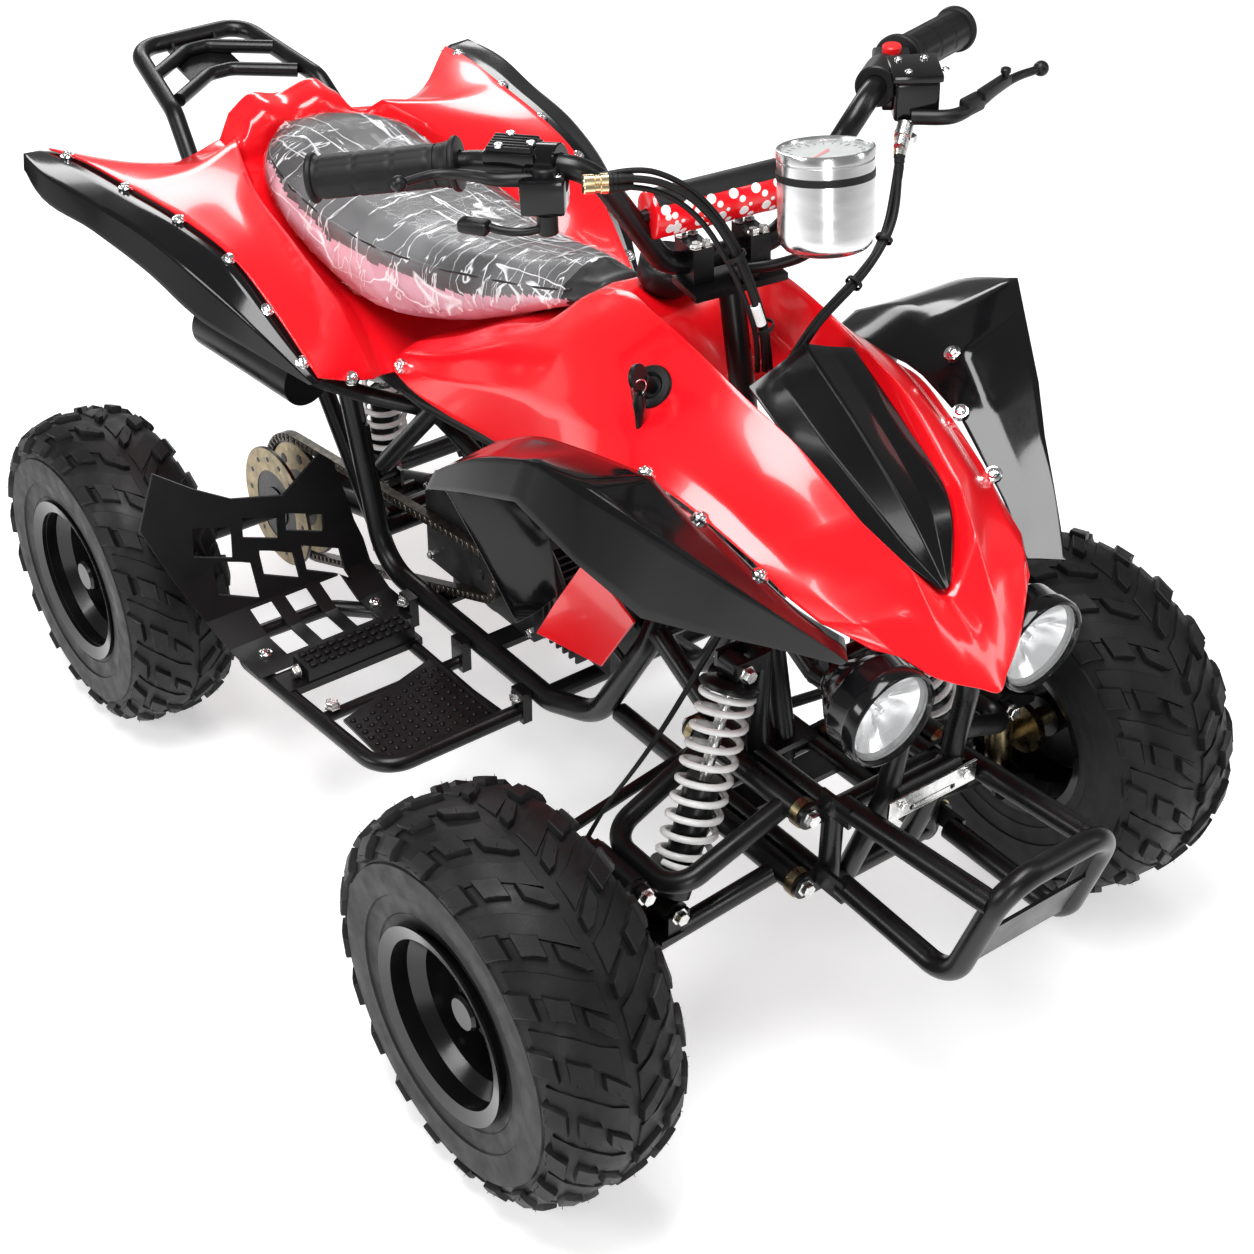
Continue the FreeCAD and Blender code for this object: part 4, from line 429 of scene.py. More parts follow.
# Name, route, diameter, length, node and body
CORDS = (
    ("HarnessRight", RIGHT_HARNESS, 0.0075, 0.306, "cables_right", "steering"),
    ("CableRight", RIGHT_CABLE, 0.006, 0.304, "cables_right", "steering"),
    ("ThirdRight", RIGHT_THIRD, 0.006, 0.318, "cables_right", "steering"),
    ("HarnessLeft", LEFT_HARNESS, 0.0075, 0.259, "cables_left", "steering"),
    ("CableLeft", LEFT_CABLE, 0.006, 0.254, "cables_left", "steering"),
    ("ThirdLeft", LEFT_THIRD, 0.006, 0.268, "cables_left", "steering"),
    ("FrontHose", FRONT_HOSE, 0.0045, 0.312, "brake_hose", "chassis"),
    ("FrontHoseTwin", FRONT_HOSE_TWIN, 0.0045, 0.308, "brake_hose", "chassis"),
)


def make_cords():
    """Cable bundles from the perches into the cowl, and the double cable to the near front wheel."""
    for name, route, diameter, length, node, body in CORDS:
        curve = bpy.data.curves.new(name, "CURVE")
        curve.dimensions = "3D"
        spline = curve.splines.new("NURBS")
        spline.points.add(len(route) - 1)
        for point, place in zip(spline.points, route):
            point.co = (*place, 1)
        spline.order_u = 3
        spline.use_endpoint_u = True
        spline.resolution_u = 10
        curve.bevel_depth = diameter / 2
        curve.bevel_resolution = 3
        curve.use_fill_caps = True
        curve.materials.append(FINISH["rubber"])
        piece = new_object(name, curve)
        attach(piece, body)
        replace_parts(piece, node)


# Mesh tools

def add_object(name, mesh, finish, body="chassis"):
    """Links a mesh as a piece that rides on a body."""
    piece = new_object(name, mesh)
    if not mesh.materials:
        mesh.materials.append(FINISH[finish])
    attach(piece, body)
    return piece


def mesh_of(name, points, faces):
    """Smooth mesh from points in millimetres."""
    mesh = bpy.data.meshes.new(name)
    mesh.from_pydata([Vector(point) * MM for point in points], [], faces)
    mesh.validate()
    mesh.shade_smooth()
    return mesh


def sharpen(mesh, degrees):
    """Marks edges sharper than an angle as hard."""
    mesh.set_sharp_from_angle(angle=math.radians(degrees))


def applied(piece):
    """The piece's mesh with its modifiers applied."""
    graph = bpy.context.evaluated_depsgraph_get()
    mesh = bpy.data.meshes.new_from_object(piece.evaluated_get(graph), depsgraph=graph)
    piece.modifiers.clear()
    piece.data = mesh
    return piece


def smooth_line(points, sharp, steps):
    """Curve through the points, straight-cornered at the sharp ones."""
    points = [Vector(point) for point in points]
    runs = [b - a for a, b in zip(points, points[1:])]
    slopes = [(runs[0].normalized(), runs[0].normalized())]
    for i, (into, out) in enumerate(zip(runs, runs[1:]), 1):
        back, ahead = into.length, out.length
        slope = (into / max(back, 1e-6) * ahead + out / max(ahead, 1e-6) * back) / max(back + ahead, 1e-6)
        slopes.append((into.normalized(), out.normalized()) if i in sharp else (slope, slope))
    slopes.append((runs[-1].normalized(), runs[-1].normalized()))
    line = [points[0]]
    for i, run in enumerate(runs):
        for k in range(1, steps + 1):
            t = k / steps
            rise = 3 * t ** 2 - 2 * t ** 3
            leave = slopes[i][1] * (run.length * (t ** 3 - 2 * t ** 2 + t))
            arrive = slopes[i + 1][0] * (run.length * (t ** 3 - t ** 2))
            line.append(points[i] * (1 - rise) + leave + points[i + 1] * rise + arrive)
    return line


def grid_faces(height, width, closed=True, base=0):
    """Quads between rows of points; closed joins the ends of each row."""
    faces = []
    for i in range(height - 1):
        here, there = base + i * width, base + (i + 1) * width
        for j in range(width if closed else width - 1):
            k = (j + 1) % width
            faces.append((here + j, here + k, there + k, there + j))
    return faces


def capped_faces(height, width):
    """Faces of a run of closed rings with both ends capped."""
    last = (height - 1) * width
    return grid_faces(height, width) + [tuple(range(width))[::-1], tuple(range(last, last + width))]


def grid_mesh(name, grid):
    """Mesh of quads from a grid of points."""
    return mesh_of(name, [point for row in grid for point in row], grid_faces(len(grid), len(grid[0]), False))


def outward(mesh, merge=0.0):
    """Turns every face outward, after joining points closer than a distance."""
    work = bmesh.new()
    work.from_mesh(mesh)
    if merge:
        bmesh.ops.remove_doubles(work, verts=work.verts, dist=merge)
    bmesh.ops.recalc_face_normals(work, faces=work.faces)
    work.to_mesh(mesh)
    work.free()
    mesh.shade_smooth()


def whole_rows(half_rows):
    """Stations of a symmetric panel from those of its left half, centre first."""
    return [[(-x, y, z) for x, y, z in row[:0:-1]] + list(row) for row in half_rows]


def mirror_columns(columns, count):
    """Column numbers of the whole row from those of its left half."""
    return sorted({count - 1 + column for column in columns} | {count - 1 - column for column in columns})


def mirrored_rows(rows):
    """The same rows on the other side of the machine."""
    return [[(-x, y, z) for x, y, z in reversed(row)] for row in rows]


def panel(name, rows, finish, sharp_rows=(), sharp_columns=(), steps=7):
    """Moulded shell with rounded edges whose outer face passes through the rows."""
    across = [smooth_line(row, sharp_columns, steps) for row in rows]
    columns = [smooth_line(column, sharp_rows, steps) for column in zip(*across)]
    piece = add_object(name, grid_mesh(name, list(zip(*columns))), finish)
    solidify = piece.modifiers.new("Wall", "SOLIDIFY")
    solidify.thickness = PANEL_WALL * MM
    solidify.offset = -1
    solidify.use_even_offset = False
    soften(piece, 0.9, 62)
    return applied(piece)


def turned_points(profile, centre, axis, segments):
    """Rings of points round an axis through the centre, from (radius, along) pairs."""
    turn = turn_to(axis)
    return [Vector(centre) + turn @ polar(radius, angle, along)
            for radius, along in profile for angle in around(segments)]


def lathe(name, profile, centre, axis, finish, body="chassis", segments=64, sharp=32):
    """Turned piece from (radius, along) points about an axis through the centre."""
    mesh = mesh_of(name, turned_points(profile, centre, axis, segments), grid_faces(len(profile), segments))
    outward(mesh, 0.01 * MM)
    sharpen(mesh, sharp)
    return add_object(name, mesh, finish, body)


def joined(name, pieces):
    """One piece from several that ride on the same body."""
    work = bmesh.new()
    materials = []
    for piece in pieces:
        remap = []
        for material in piece.data.materials:
            if material not in materials:
                materials.append(material)
            remap.append(materials.index(material))
        start = len(work.faces)
        work.from_mesh(piece.data)
        work.faces.ensure_lookup_table()
        for face in work.faces[start:]:
            face.material_index = remap[face.material_index]
    body = pieces[0]["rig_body"]
    mesh = bpy.data.meshes.new(name)
    work.to_mesh(mesh)
    work.free()
    for material in materials:
        mesh.materials.append(material)
    for piece in pieces:
        bpy.data.objects.remove(piece)
    whole = new_object(name, mesh)
    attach(whole, body)
    return whole


def tube(name, path, radius, finish, body="chassis", segments=12, radii=None):
    """Round tube along a path with closed ends, without twist."""
    path = [Vector(point) for point in path]
    last = len(path) - 1
    side = None
    points = []
    for i, point in enumerate(path):
        along = (path[min(i + 1, last)] - path[max(i - 1, 0)]).normalized()
        side = side or along.orthogonal().normalized()
        side = (side - along * side.dot(along)).normalized()
        over = along.cross(side)
        size = radii[i] if radii else radius
        points += [point + (side * math.cos(angle) + over * math.sin(angle)) * size
                   for angle in around(segments)]
    mesh = mesh_of(name, points, capped_faces(len(path), segments))
    sharpen(mesh, 50)
    return add_object(name, mesh, finish, body)


def block(name, low, high, finish, body="chassis", bevel=2.0, turn=0.0, segments=2):
    """Moulded block with rounded edges, turned about its middle by degrees."""
    work = bmesh.new()
    bmesh.ops.create_cube(work, size=1)
    bmesh.ops.scale(work, vec=[(b - a) * MM for a, b in zip(low, high)], verts=work.verts)
    bmesh.ops.bevel(work, geom=work.edges[:], offset=bevel * MM, segments=segments, affect="EDGES",
                    profile=0.6)
    mesh = bpy.data.meshes.new(name)
    work.to_mesh(mesh)
    work.free()
    centre = (Vector(low) + Vector(high)) * 0.5 * MM
    mesh.transform(Matrix.Translation(centre) @ Matrix.Rotation(math.radians(turn), 4, "Z"))
    mesh.shade_smooth()
    sharpen(mesh, 40)
    return add_object(name, mesh, finish, body)


make_cords()


def make_cord_ties():
    """Cable ties round the two bundles and the pale sleeve on the near one."""
    for name, centre, axis, radius in (
        ("TieRight", (-64, -427, 974), (0.32, -0.34, -0.88), 11.5),
        ("TieRightLow", (-36, -443, 893), (0.33, -0.05, -0.94), 11.5),
        ("TieLeft", (137, -433, 939), (-0.75, -0.24, -0.6), 9.5),
        ("TieLeftLow", (86, -445, 907), (-0.88, -0.2, -0.42), 9.5),
    ):
        lathe(name, [(radius - 1.4, -2.2), (radius, -2.2), (radius, 2.2), (radius - 1.4, 2.2)], centre, axis,
              "rubber", "steering", segments=28)
    lathe("Sleeve", [(4.0, -13), (5.4, -12), (5.4, 12), (4.0, 13)], (-44, -443.5, 909), (0.34, -0.07, -0.94),
          "dots", "steering", segments=24)


make_cord_ties()


# Tyres: a turned carcass with chevron lugs raised on it

FRONT_AXLE = (426.0, -520.0, 237.5)
REAR_AXLE = (373.0, 512.0, 227.0)
TREAD_RADIUS = 220.0
HAIR_RADIUS = 0.45
TYRE_SEGMENTS = 120

CARCASS = [
    (0, 228), (22, 227.4), (44, 224.2), (62, 218), (74, 209.5), (81.5, 198), (85.5, 189), (88.3, 187.2),
    (89, 176), (88.6, 165), (87.4, 154), (87.6, 151.5), (85.2, 150), (83.8, 141), (82.4, 131.5), (83.2, 129),
    (81.4, 127), (80.4, 119), (80.2, 115.6), (76.5, 108), (74, 104),
]


def carcass_point(profile, reach):
    """Point and outward normal of the tread profile at a distance across from its middle."""
    travelled = 0.0
    for (x0, r0), (x1, r1) in zip(profile, profile[1:]):
        length = math.hypot(x1 - x0, r1 - r0)
        if travelled + length >= reach:
            t = (reach - travelled) / length
            normal = Vector((r0 - r1, x1 - x0)).normalized()
            return Vector((x0 + (x1 - x0) * t, r0 + (r1 - r0) * t)), normal
        travelled += length
    raise ValueError("beyond the profile")


def smooth_normal(profile, reach):
    """Normal averaged over a stretch, so that lugs bend smoothly over the shoulder."""
    total = Vector((0, 0))
    for step in (-8, 0, 8):
        total += carcass_point(profile, max(reach + step, 0.01))[1]
    return total.normalized()


# Lugs of one side of one pitch: corners (reach across, angle in degrees), forward edge first, and height
LUGS = (
    ([(7, -3.2), (26, 0.4), (50, 5.2), (72, 8.6), (92, 11.6)],
     [(7, 5.6), (26, 8.2), (50, 13.2), (72, 16.8), (92, 19.4)], 3.0),
    ([(5, -9.6), (14, -9.0), (34, -3.4)], [(5, -5.4), (16, -2.4), (33, 1.2)], 9.0),
    ([(43, -2.0), (54, -0.2), (66, 1.6)], [(41, 4.8), (53, 6.8), (65, 9.0)], 9.0),
    ([(74, 2.4), (86, 4.2), (99, 5.4)], [(73, 10.4), (86, 12.6), (98, 13.8)], 8.6),
)
HAIRS = ((96, 8.0), (96, 12.0), (60, 1.2), (22, -5.2))


def on_tread(profile, reach, angle, lift, turn, side, off=(0.0, 0.0)):
    """Point raised off the tread at a reach across and an angle round."""
    spot, _ = carcass_point(profile, reach)
    raised = spot + smooth_normal(profile, reach) * lift + Vector(off)
    theta = math.radians(angle) + turn
    return Vector((side * raised.x, -raised.y * math.cos(theta), raised.y * math.sin(theta)))


def add_lug(points, faces, profile, front, back, height, turn, side, taper):
    """One raised lug whose flanks lean in a little."""
    count = len(front)
    size = 2 * count
    outline = list(front) + list(reversed(back))
    middle = [((f[0] + b[0]) / 2, (f[1] + b[1]) / 2) for f, b in zip(front, back)]
    centre = (sum(m[0] for m in middle) / count, sum(m[1] for m in middle) / count)
    faces += grid_faces(3, size, base=len(points))
    for lift, inset in ((-1.0, 0.0), (height - 1.0, taper), (height, taper + 1.1)):
        for reach, angle in outline:
            away = math.hypot(reach - centre[0], math.radians(angle - centre[1]) * TREAD_RADIUS)
            scale = max(0.0, 1 - inset / max(away, 1e-6))
            points.append(on_tread(profile, centre[0] + (reach - centre[0]) * scale,
                                   centre[1] + (angle - centre[1]) * scale, lift, turn, side))
    top = len(points) - size
    faces += [(top + k, top + k + 1, top + size - 2 - k, top + size - 1 - k) for k in range(count - 1)]


def add_hair(points, faces, profile, reach, angle, turn, side):
    """Short vent hair standing on a lug."""
    base = len(points)
    for lift in (7.0, 11.6):
        points += [on_tread(profile, reach, angle, lift, turn, side, polar(HAIR_RADIUS, off).xy)
                   for off in around(3)]
    faces += grid_faces(2, 3, base=base) + [(base + 3, base + 4, base + 5)]


def make_tyre(name, centre, scale_across, scale_round, pitches, body, node):
    """Carcass with its lugs and vent hairs."""
    profile = [(x * scale_across, r * scale_round) for x, r in CARCASS]
    whole = [(-x, r) for x, r in profile[:0:-1]] + profile
    points = [Vector((x, -r * math.cos(theta), r * math.sin(theta))) for x, r in whole
              for theta in around(TYRE_SEGMENTS)]
    faces = grid_faces(len(whole), TYRE_SEGMENTS)
    stretch = 20 / pitches
    for pitch in range(pitches):
        for side in (-1, 1):
            turn = 2 * math.pi * (pitch + (0.5 if side > 0 else 0.0)) / pitches
            for *edges, height in LUGS:
                front, back = [[(reach * scale_across, angle * stretch) for reach, angle in edge]
                               for edge in edges]
                add_lug(points, faces, profile, front, back, height, turn, side, 0.8 if height < 4 else 1.7)
            for reach, angle in HAIRS:
                add_hair(points, faces, profile, reach * scale_across, angle * stretch, turn, side)
    mesh = mesh_of(name, [point + Vector(centre) for point in points], faces)
    outward(mesh)
    sharpen(mesh, 28)
    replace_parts(add_object(name, mesh, "tyre", body), node)


def make_tyres():
    """The four tyres, each on the body that carries it."""
    for hand, side in ((-1, "right"), (1, "left")):
        for place, name, sizes, body in ((FRONT_AXLE, "Front", (1.0, 1.0, 20), "front_wheel_" + side),
                                         (REAR_AXLE, "Rear", (0.876, 217.8 / 228, 19), "rear_axle")):
            make_tyre("Tyre%s_%s" % (name, side), (hand * place[0], *place[1:]), *sizes, body,
                      "%s_tyre_%s" % (name.lower(), side))


make_tyres()


# Bodywork, on the same stations as the solids

COWL_ROWS = [
    [(0, -787, 615), (20, -776, 622), (40, -765, 629), (60, -753, 639), (85, -733, 661), (110, -712, 673)],
    [(0, -745, 655), (18, -740, 662), (40, -728, 680), (72, -715, 692), (112, -700, 692), (140, -668, 690)],
    [(0, -705, 684), (14, -702, 694), (46, -692, 731), (78, -672, 724), (128, -655, 708), (152, -625, 706)],
    [(0, -640, 690), (48, -640, 715), (67, -640, 767), (98, -625, 757), (140, -600, 732), (160, -585, 728)],
    [(0, -560, 700), (60, -560, 752), (78, -555, 816), (112, -545, 798), (152, -530, 762), (174, -520, 752)],
    [(0, -470, 715), (68, -470, 775), (84, -470, 842), (120, -460, 822), (165, -450, 784), (189, -445, 768)],
    [(0, -400, 745), (68, -400, 790), (86, -400, 862), (124, -390, 825), (172, -380, 780), (192, -375, 755)],
    [(0, -330, 785), (66, -330, 808), (84, -320, 876), (124, -310, 835), (170, -300, 770), (184, -300, 700)],
    [(0, -262, 835), (50, -268, 848), (72, -262, 872), (122, -240, 828), (162, -235, 745), (172, -220, 655)],
    [(0, -200, 846), (45, -200, 850), (78, -195, 842), (118, -180, 800), (152, -170, 730), (160, -165, 652)],
    [(0, -166, 798), (50, -166, 798), (88, -150, 800), (116, -120, 770), (146, -110, 710), (150, -100, 640)],
    [(0, -40, 745), (50, -40, 745), (92, -40, 745), (118, -30, 720), (140, -15, 675), (146, 0, 626)],
    [(0, 60, 690), (50, 60, 690), (98, 60, 688), (122, 70, 668), (136, 80, 645), (142, 85, 622)],
    [(0, 120, 660), (50, 120, 660), (105, 125, 658), (124, 128, 648), (134, 130, 638), (138, 132, 628)],
]

INSERT_ROWS = [
    [(0, -700, 693), (4, -699, 694), (9, -697, 697)],
    [(0, -645, 747), (26, -643, 743), (56, -640, 747)],
    [(0, -560, 813), (36, -556, 799), (68, -555, 795)],
    [(0, -468, 873), (38, -467, 857), (72, -466, 845)],
]

FENDER_ROWS = [
    [(120, -682, 673), (134, -700, 677), (152, -722, 680), (154, -716, 673)],
    [(148, -640, 697), (168, -650, 707), (195, -658, 721), (205, -652, 682)],
    [(163, -590, 723), (186, -600, 735), (227, -609, 750), (245, -605, 687)],
    [(178, -530, 753), (202, -550, 762), (262, -561, 783), (282, -560, 695)],
    [(192, -455, 767), (216, -490, 802), (307, -489, 826), (322, -505, 747)],
    [(198, -420, 767), (236, -410, 800), (334, -450, 843), (348, -440, 795)],
    [(202, -350, 760), (250, -350, 793), (343, -354, 801), (352, -345, 761)],
    [(204, -285, 740), (255, -278, 757), (346, -290, 757), (350, -278, 731)],
]

TAIL_ROWS = [
    [(0, 150, 606), (60, 150, 606), (134, 160, 606), (152, 150, 610), (192, 140, 625), (242, 130, 650)],
    [(0, 230, 640), (60, 230, 640), (122, 230, 655), (162, 215, 690), (202, 208, 704), (254, 208, 712)],
    [(0, 330, 665), (60, 330, 665), (128, 330, 680), (160, 312, 733), (206, 302, 750), (263, 280, 755)],
    [(0, 430, 694), (60, 430, 694), (132, 430, 704), (152, 420, 762), (208, 400, 774), (276, 380, 775)],
    [(0, 562, 738), (55, 562, 738), (98, 556, 744), (116, 540, 790), (200, 500, 784), (291, 495, 782)],
    [(0, 580, 790), (46, 575, 800), (74, 580, 792), (98, 600, 752), (200, 585, 762), (309, 628, 785)],
    [(0, 628, 800), (52, 618, 812), (80, 624, 790), (92, 634, 752), (190, 600, 752), (318, 688, 778)],
]

TRIM_ROWS = [
    [(236, 134, 642), (246, 128, 645), (252, 130, 643), (254, 136, 641)],
    [(250, 208, 702), (266, 204, 705), (284, 206, 697), (290, 210, 667)],
    [(257, 282, 748), (278, 276, 749), (306, 278, 733), (318, 280, 687)],
    [(270, 382, 768), (292, 376, 769), (324, 378, 761), (336, 382, 719)],
    [(285, 497, 775), (308, 492, 776), (340, 494, 771), (352, 498, 737)],
    [(303, 630, 778), (326, 624, 780), (360, 622, 779), (370, 626, 753)],
    [(312, 690, 771), (330, 692, 776), (356, 684, 781), (368, 660, 771)],
]


FLAP_ROWS = [
    [(345, -291, 757), (300, -295, 650), (253, -300, 530)],
    [(276, -292, 750), (238, -309, 652), (233, -313, 545)],
    [(208, -294, 742), (212, -310, 654), (216, -326, 566)],
]


def cut_out(piece, low, high):
    """Cuts a rounded box out of a panel."""
    tool = block("Cutter", low, high, "red", "chassis", 6.0, segments=4)
    cut = piece.modifiers.new("Opening", "BOOLEAN")
    cut.operation = "DIFFERENCE"
    cut.solver = "EXACT"
    cut.object = tool
    applied(piece)
    bpy.data.objects.remove(tool)


def make_bodywork():
    """Cowl, hood insert, tail, fenders and their hanging panels, and rear trims."""
    cowl = panel("Cowl", whole_rows(COWL_ROWS), "red", (1, 2, 3), mirror_columns((1, 2, 4), 6))
    cut_out(cowl, (-48, -461, 640), (48, -347, 900))
    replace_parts(cowl, "front_cowl")
    insert = panel("HoodInsert", whole_rows(INSERT_ROWS), "gloss", (), mirror_columns((0, 1), 3), 9)
    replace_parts(insert, "hood_insert")
    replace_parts(panel("Tail", whole_rows(TAIL_ROWS), "red", (4,), mirror_columns((2, 3), 6)), "rear_body")
    for rows, name, node, sharp in ((FENDER_ROWS, "FrontFender", "front_fenders", (2, 3, 4, 5)),
                                    (TRIM_ROWS, "RearTrim", "rear_trims", ())):
        for side, stations in (("left", rows), ("right", mirrored_rows(rows))):
            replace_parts(panel(name + "_" + side, stations, "gloss", sharp, (1, 2)), node)
    for side, rows in (("left", FLAP_ROWS), ("right", mirrored_rows(FLAP_ROWS)[::-1])):
        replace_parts(panel("FenderFlap_" + side, rows, "gloss", steps=5), "front_fenders")


make_bodywork()


# Places shared with the part's source, in millimetres

STEM_TOP = Vector((0.0, -346.0, 896.0))
STEM_BOTTOM = Vector((0.0, -478.6, 352.0))
BAR_TURN = math.radians(-12.0)
BAR_LINE = [(0, -330, 918), (66, -330, 922), (158, -350, 1066), (246, -256, 1054), (393, -160, 1032)]
BAR_AXIS = (STEM_TOP - STEM_BOTTOM).normalized()
BAR_MATRIX = (Matrix.Translation(STEM_TOP * MM) @ Matrix.Rotation(BAR_TURN, 4, BAR_AXIS)
              @ Matrix.Translation(STEM_TOP * -MM))
SHOCK_TOP = (112.0, -512.0, 535.0)
SHOCK_FOOT = (226.0, -549.0, 274.0)
REAR_SHOCK_TOP = (0.0, 372.0, 560.0)
REAR_SHOCK_FOOT = (0.0, 398.0, 300.0)


def mirror_point(point):
    """The point's twin on the other side of the machine."""
    return (-point[0], point[1], point[2])


def on_bar(piece):
    """Turns a piece made round the straight bar to the bar's parked angle."""
    piece.data.transform(BAR_MATRIX)
    return piece


def turned_set(name, spots, profile, finish, body="chassis", segments=16, sharp=35):
    """The same turned shape at several places: (centre, axis) pairs, as one piece."""
    points = []
    faces = []
    for centre, axis in spots:
        faces += grid_faces(len(profile), segments, base=len(points))
        points += turned_points(profile, centre, axis, segments)
        faces.append(tuple(range(len(points) - segments, len(points))))
    mesh = mesh_of(name, points, faces)
    sharpen(mesh, sharp)
    return add_object(name, mesh, finish, body)


# Profiles of the bolts' heads, as (radius, along) points

BUTTON = [(9.5, -4), (9.5, 2.4), (8.8, 3.2), (6.8, 3.4), (6.6, 5), (5.2, 6.8), (2.8, 7.4), (2.6, 5.2)]
HEX = [(11.0, 0.0), (11.0, 1.2), (8.4, 1.8), (8.4, 8.0), (7.6, 8.8)]
SMALL_HEX = [(7.0, 0.0), (7.0, 0.9), (5.2, 1.4), (5.2, 5.4), (4.6, 6.0)]


def both_hands(spots):
    """Places on the left side with their twins on the right."""
    return spots + [(mirror_point(centre), mirror_point(axis)) for centre, axis in spots]


# Bolts of the bodywork and frame

TRIM_BOLTS = [((311.9, 642.5, 779.0), (0.1, 0, 1)), ((295.0, 508.1, 777.3), (0.05, 0, 1)),
              ((280.0, 391.6, 770.7), (0, -0.08, 1)), ((267.0, 290.3, 751.9), (0, -0.3, 1)),
              ((259.0, 217.2, 710.1), (0.1, -0.6, 1)), ((250.0, 154.5, 661.6), (0.1, -0.7, 1))]
FENDER_BOLTS = [((212.6, -477.1, 797.0), (-0.6, -0.1, 1)), ((181.0, -527.0, 757.0), (-0.5, -0.3, 1)),
                ((163.0, -600.0, 720.0), (-0.5, -0.4, 1))]
PANEL_SCREWS = [((139, 108, 642), (1, 0.1, 0.5)), ((190, 142, 626), (0.7, -0.5, 0.6))]
GUARD_SCREWS = [((367, 290, 339), (0, -1, 0.3)), ((151, 290, 352), (0, -1, 0.3)), ((333, 166, 252), UP),
                ((153, 181, 252), UP), ((122, 238, 258), (0, -0.3, 1))]
# Pins across the machine: x, z and the y of their front and rear faces
PINS = [(104.8, 302.0, -638.0, -434.0), (104.8, 402.0, -638.0, -434.0), (278.0, 334.0, -572.3, -467.7),
        (294.0, 206.0, -572.3, -467.7)]
SHOCK_EAR_REACH = 19.4


def hex_bolts(name, spots, profile, body="chassis"):
    """Hexagon bolts at several places, as one piece."""
    return turned_set(name, spots, profile, "steel", body, segments=6, sharp=20)


def make_bolts():
    """Bolts of the bodywork, frame, guards and clamps."""
    turned_set("PanelBolts", both_hands(TRIM_BOLTS + FENDER_BOLTS), BUTTON, "chrome", segments=12)
    turned_set("PanelScrews", both_hands(PANEL_SCREWS), BUTTON, "chrome", segments=12)
    pins = PINS + [(x, z, y - SHOCK_EAR_REACH, y + SHOCK_EAR_REACH) for x, y, z in (SHOCK_TOP, SHOCK_FOOT)]
    ends = [((x, y, z), (0, side, 0)) for x, z, fore, aft in pins for y, side in ((fore, -1), (aft, 1))]
    hex_bolts("PivotBolts", both_hands(ends), HEX)
    rear = [((SHOCK_EAR_REACH, *place[1:]), (1, 0, 0)) for place in (REAR_SHOCK_TOP, REAR_SHOCK_FOOT)]
    hex_bolts("RearShockBolts", both_hands(rear), HEX)
    turned_set("GuardScrews", both_hands(GUARD_SCREWS), BUTTON, "chrome", segments=10)
    clamps = [((x, y, 945), UP) for x in (-40, -28, 28, 40) for y in (-346, -314)]
    on_bar(hex_bolts("ClampBolts", clamps, SMALL_HEX, "steering"))
    hex_bolts("StripBolts", [((x, -713.5, 442), (0, -1, 0)) for x in (-46, 46)], SMALL_HEX)


make_bolts()


# Ignition key and its ring

LOCK_CENTRE = Vector((-122.0, -376.0, 818.0))
LOCK_AXIS = Vector((-0.72, -0.2, 0.66)).normalized()


def make_key():
    """Black-headed key in the lock, with the spare one hanging from its ring."""
    tip = LOCK_CENTRE + LOCK_AXIS * 34
    lathe("LockRing", [(19, 8), (23, 8.6), (24, 11), (22, 14), (15, 15), (12, 12)], LOCK_CENTRE, LOCK_AXIS,
          "plastic", segments=36)
    joined("Key", [
        tube("KeyNeck", [LOCK_CENTRE + LOCK_AXIS * 12, tip], 6.4, "plastic", segments=16),
        lathe("KeyHead", [(0.01, -3.4), (13, -3.4), (14.6, -2), (14.6, 2), (13, 3.4), (0.01, 3.4)],
              tip + LOCK_AXIS * 8, (0.3, -0.9, 0.3), "plastic", segments=28),
    ])
    ring = [tip + LOCK_AXIS * 12 + Vector((math.cos(a) * 9, -5, math.sin(a) * 9 - 11)) for a in around(20)]
    tube("KeyRing", ring + ring[:1], 0.9, "steel", segments=6)
    spare = [ring[15] + Vector(step) for step in ((0, -1, 2), (-1, -2, -9), (-2, -3, -22), (-2, -3, -38))]
    tube("SpareKey", spare, 4, "plastic", segments=8, radii=[6, 7.4, 4.6, 3.0])


make_key()


# Drive: chain links, sprocket ring, brake disc and engine covers

DRIVE_X = -72.0
BRAKE_X = -116.0
SHAFT = (40.0, 345.0)
CHAIN_RADII = (35.0, 95.0)
CHAIN_PITCH = 12.7
COVER_X = 92.0
SECOND_COVER = (130.0, 350.0)


def chain_line(pitch):
    """Places of the chain's pins round the two sprockets."""
    small, big = Vector(SHAFT), Vector(REAR_AXLE[1:])
    run = big - small
    lean = math.asin((CHAIN_RADII[1] - CHAIN_RADII[0]) / run.length)
    heading = math.atan2(run.y, run.x)
    line = []
    for centre, radius, side in ((big, CHAIN_RADII[1], 1), (small, CHAIN_RADII[0], -1)):
        start = heading + side * (math.pi / 2 + lean)
        sweep = -math.pi - 2 * side * lean
        line += [centre + polar(radius, start + sweep * k / 60).xy for k in range(61)]
    line.append(line[0])
    places = []
    left = 0.0
    for a, b in zip(line, line[1:]):
        length = (b - a).length
        while left < length:
            places.append(a.lerp(b, left / length))
            left += pitch
        left -= length
    return places


def on_circle(x, centre, radius, degrees, side=1):
    """Places on a circle across the machine, each with its outward axis."""
    return [((x, *(Vector(centre) + polar(radius, math.radians(degree)).xy)), (side, 0, 0))
            for degree in degrees]


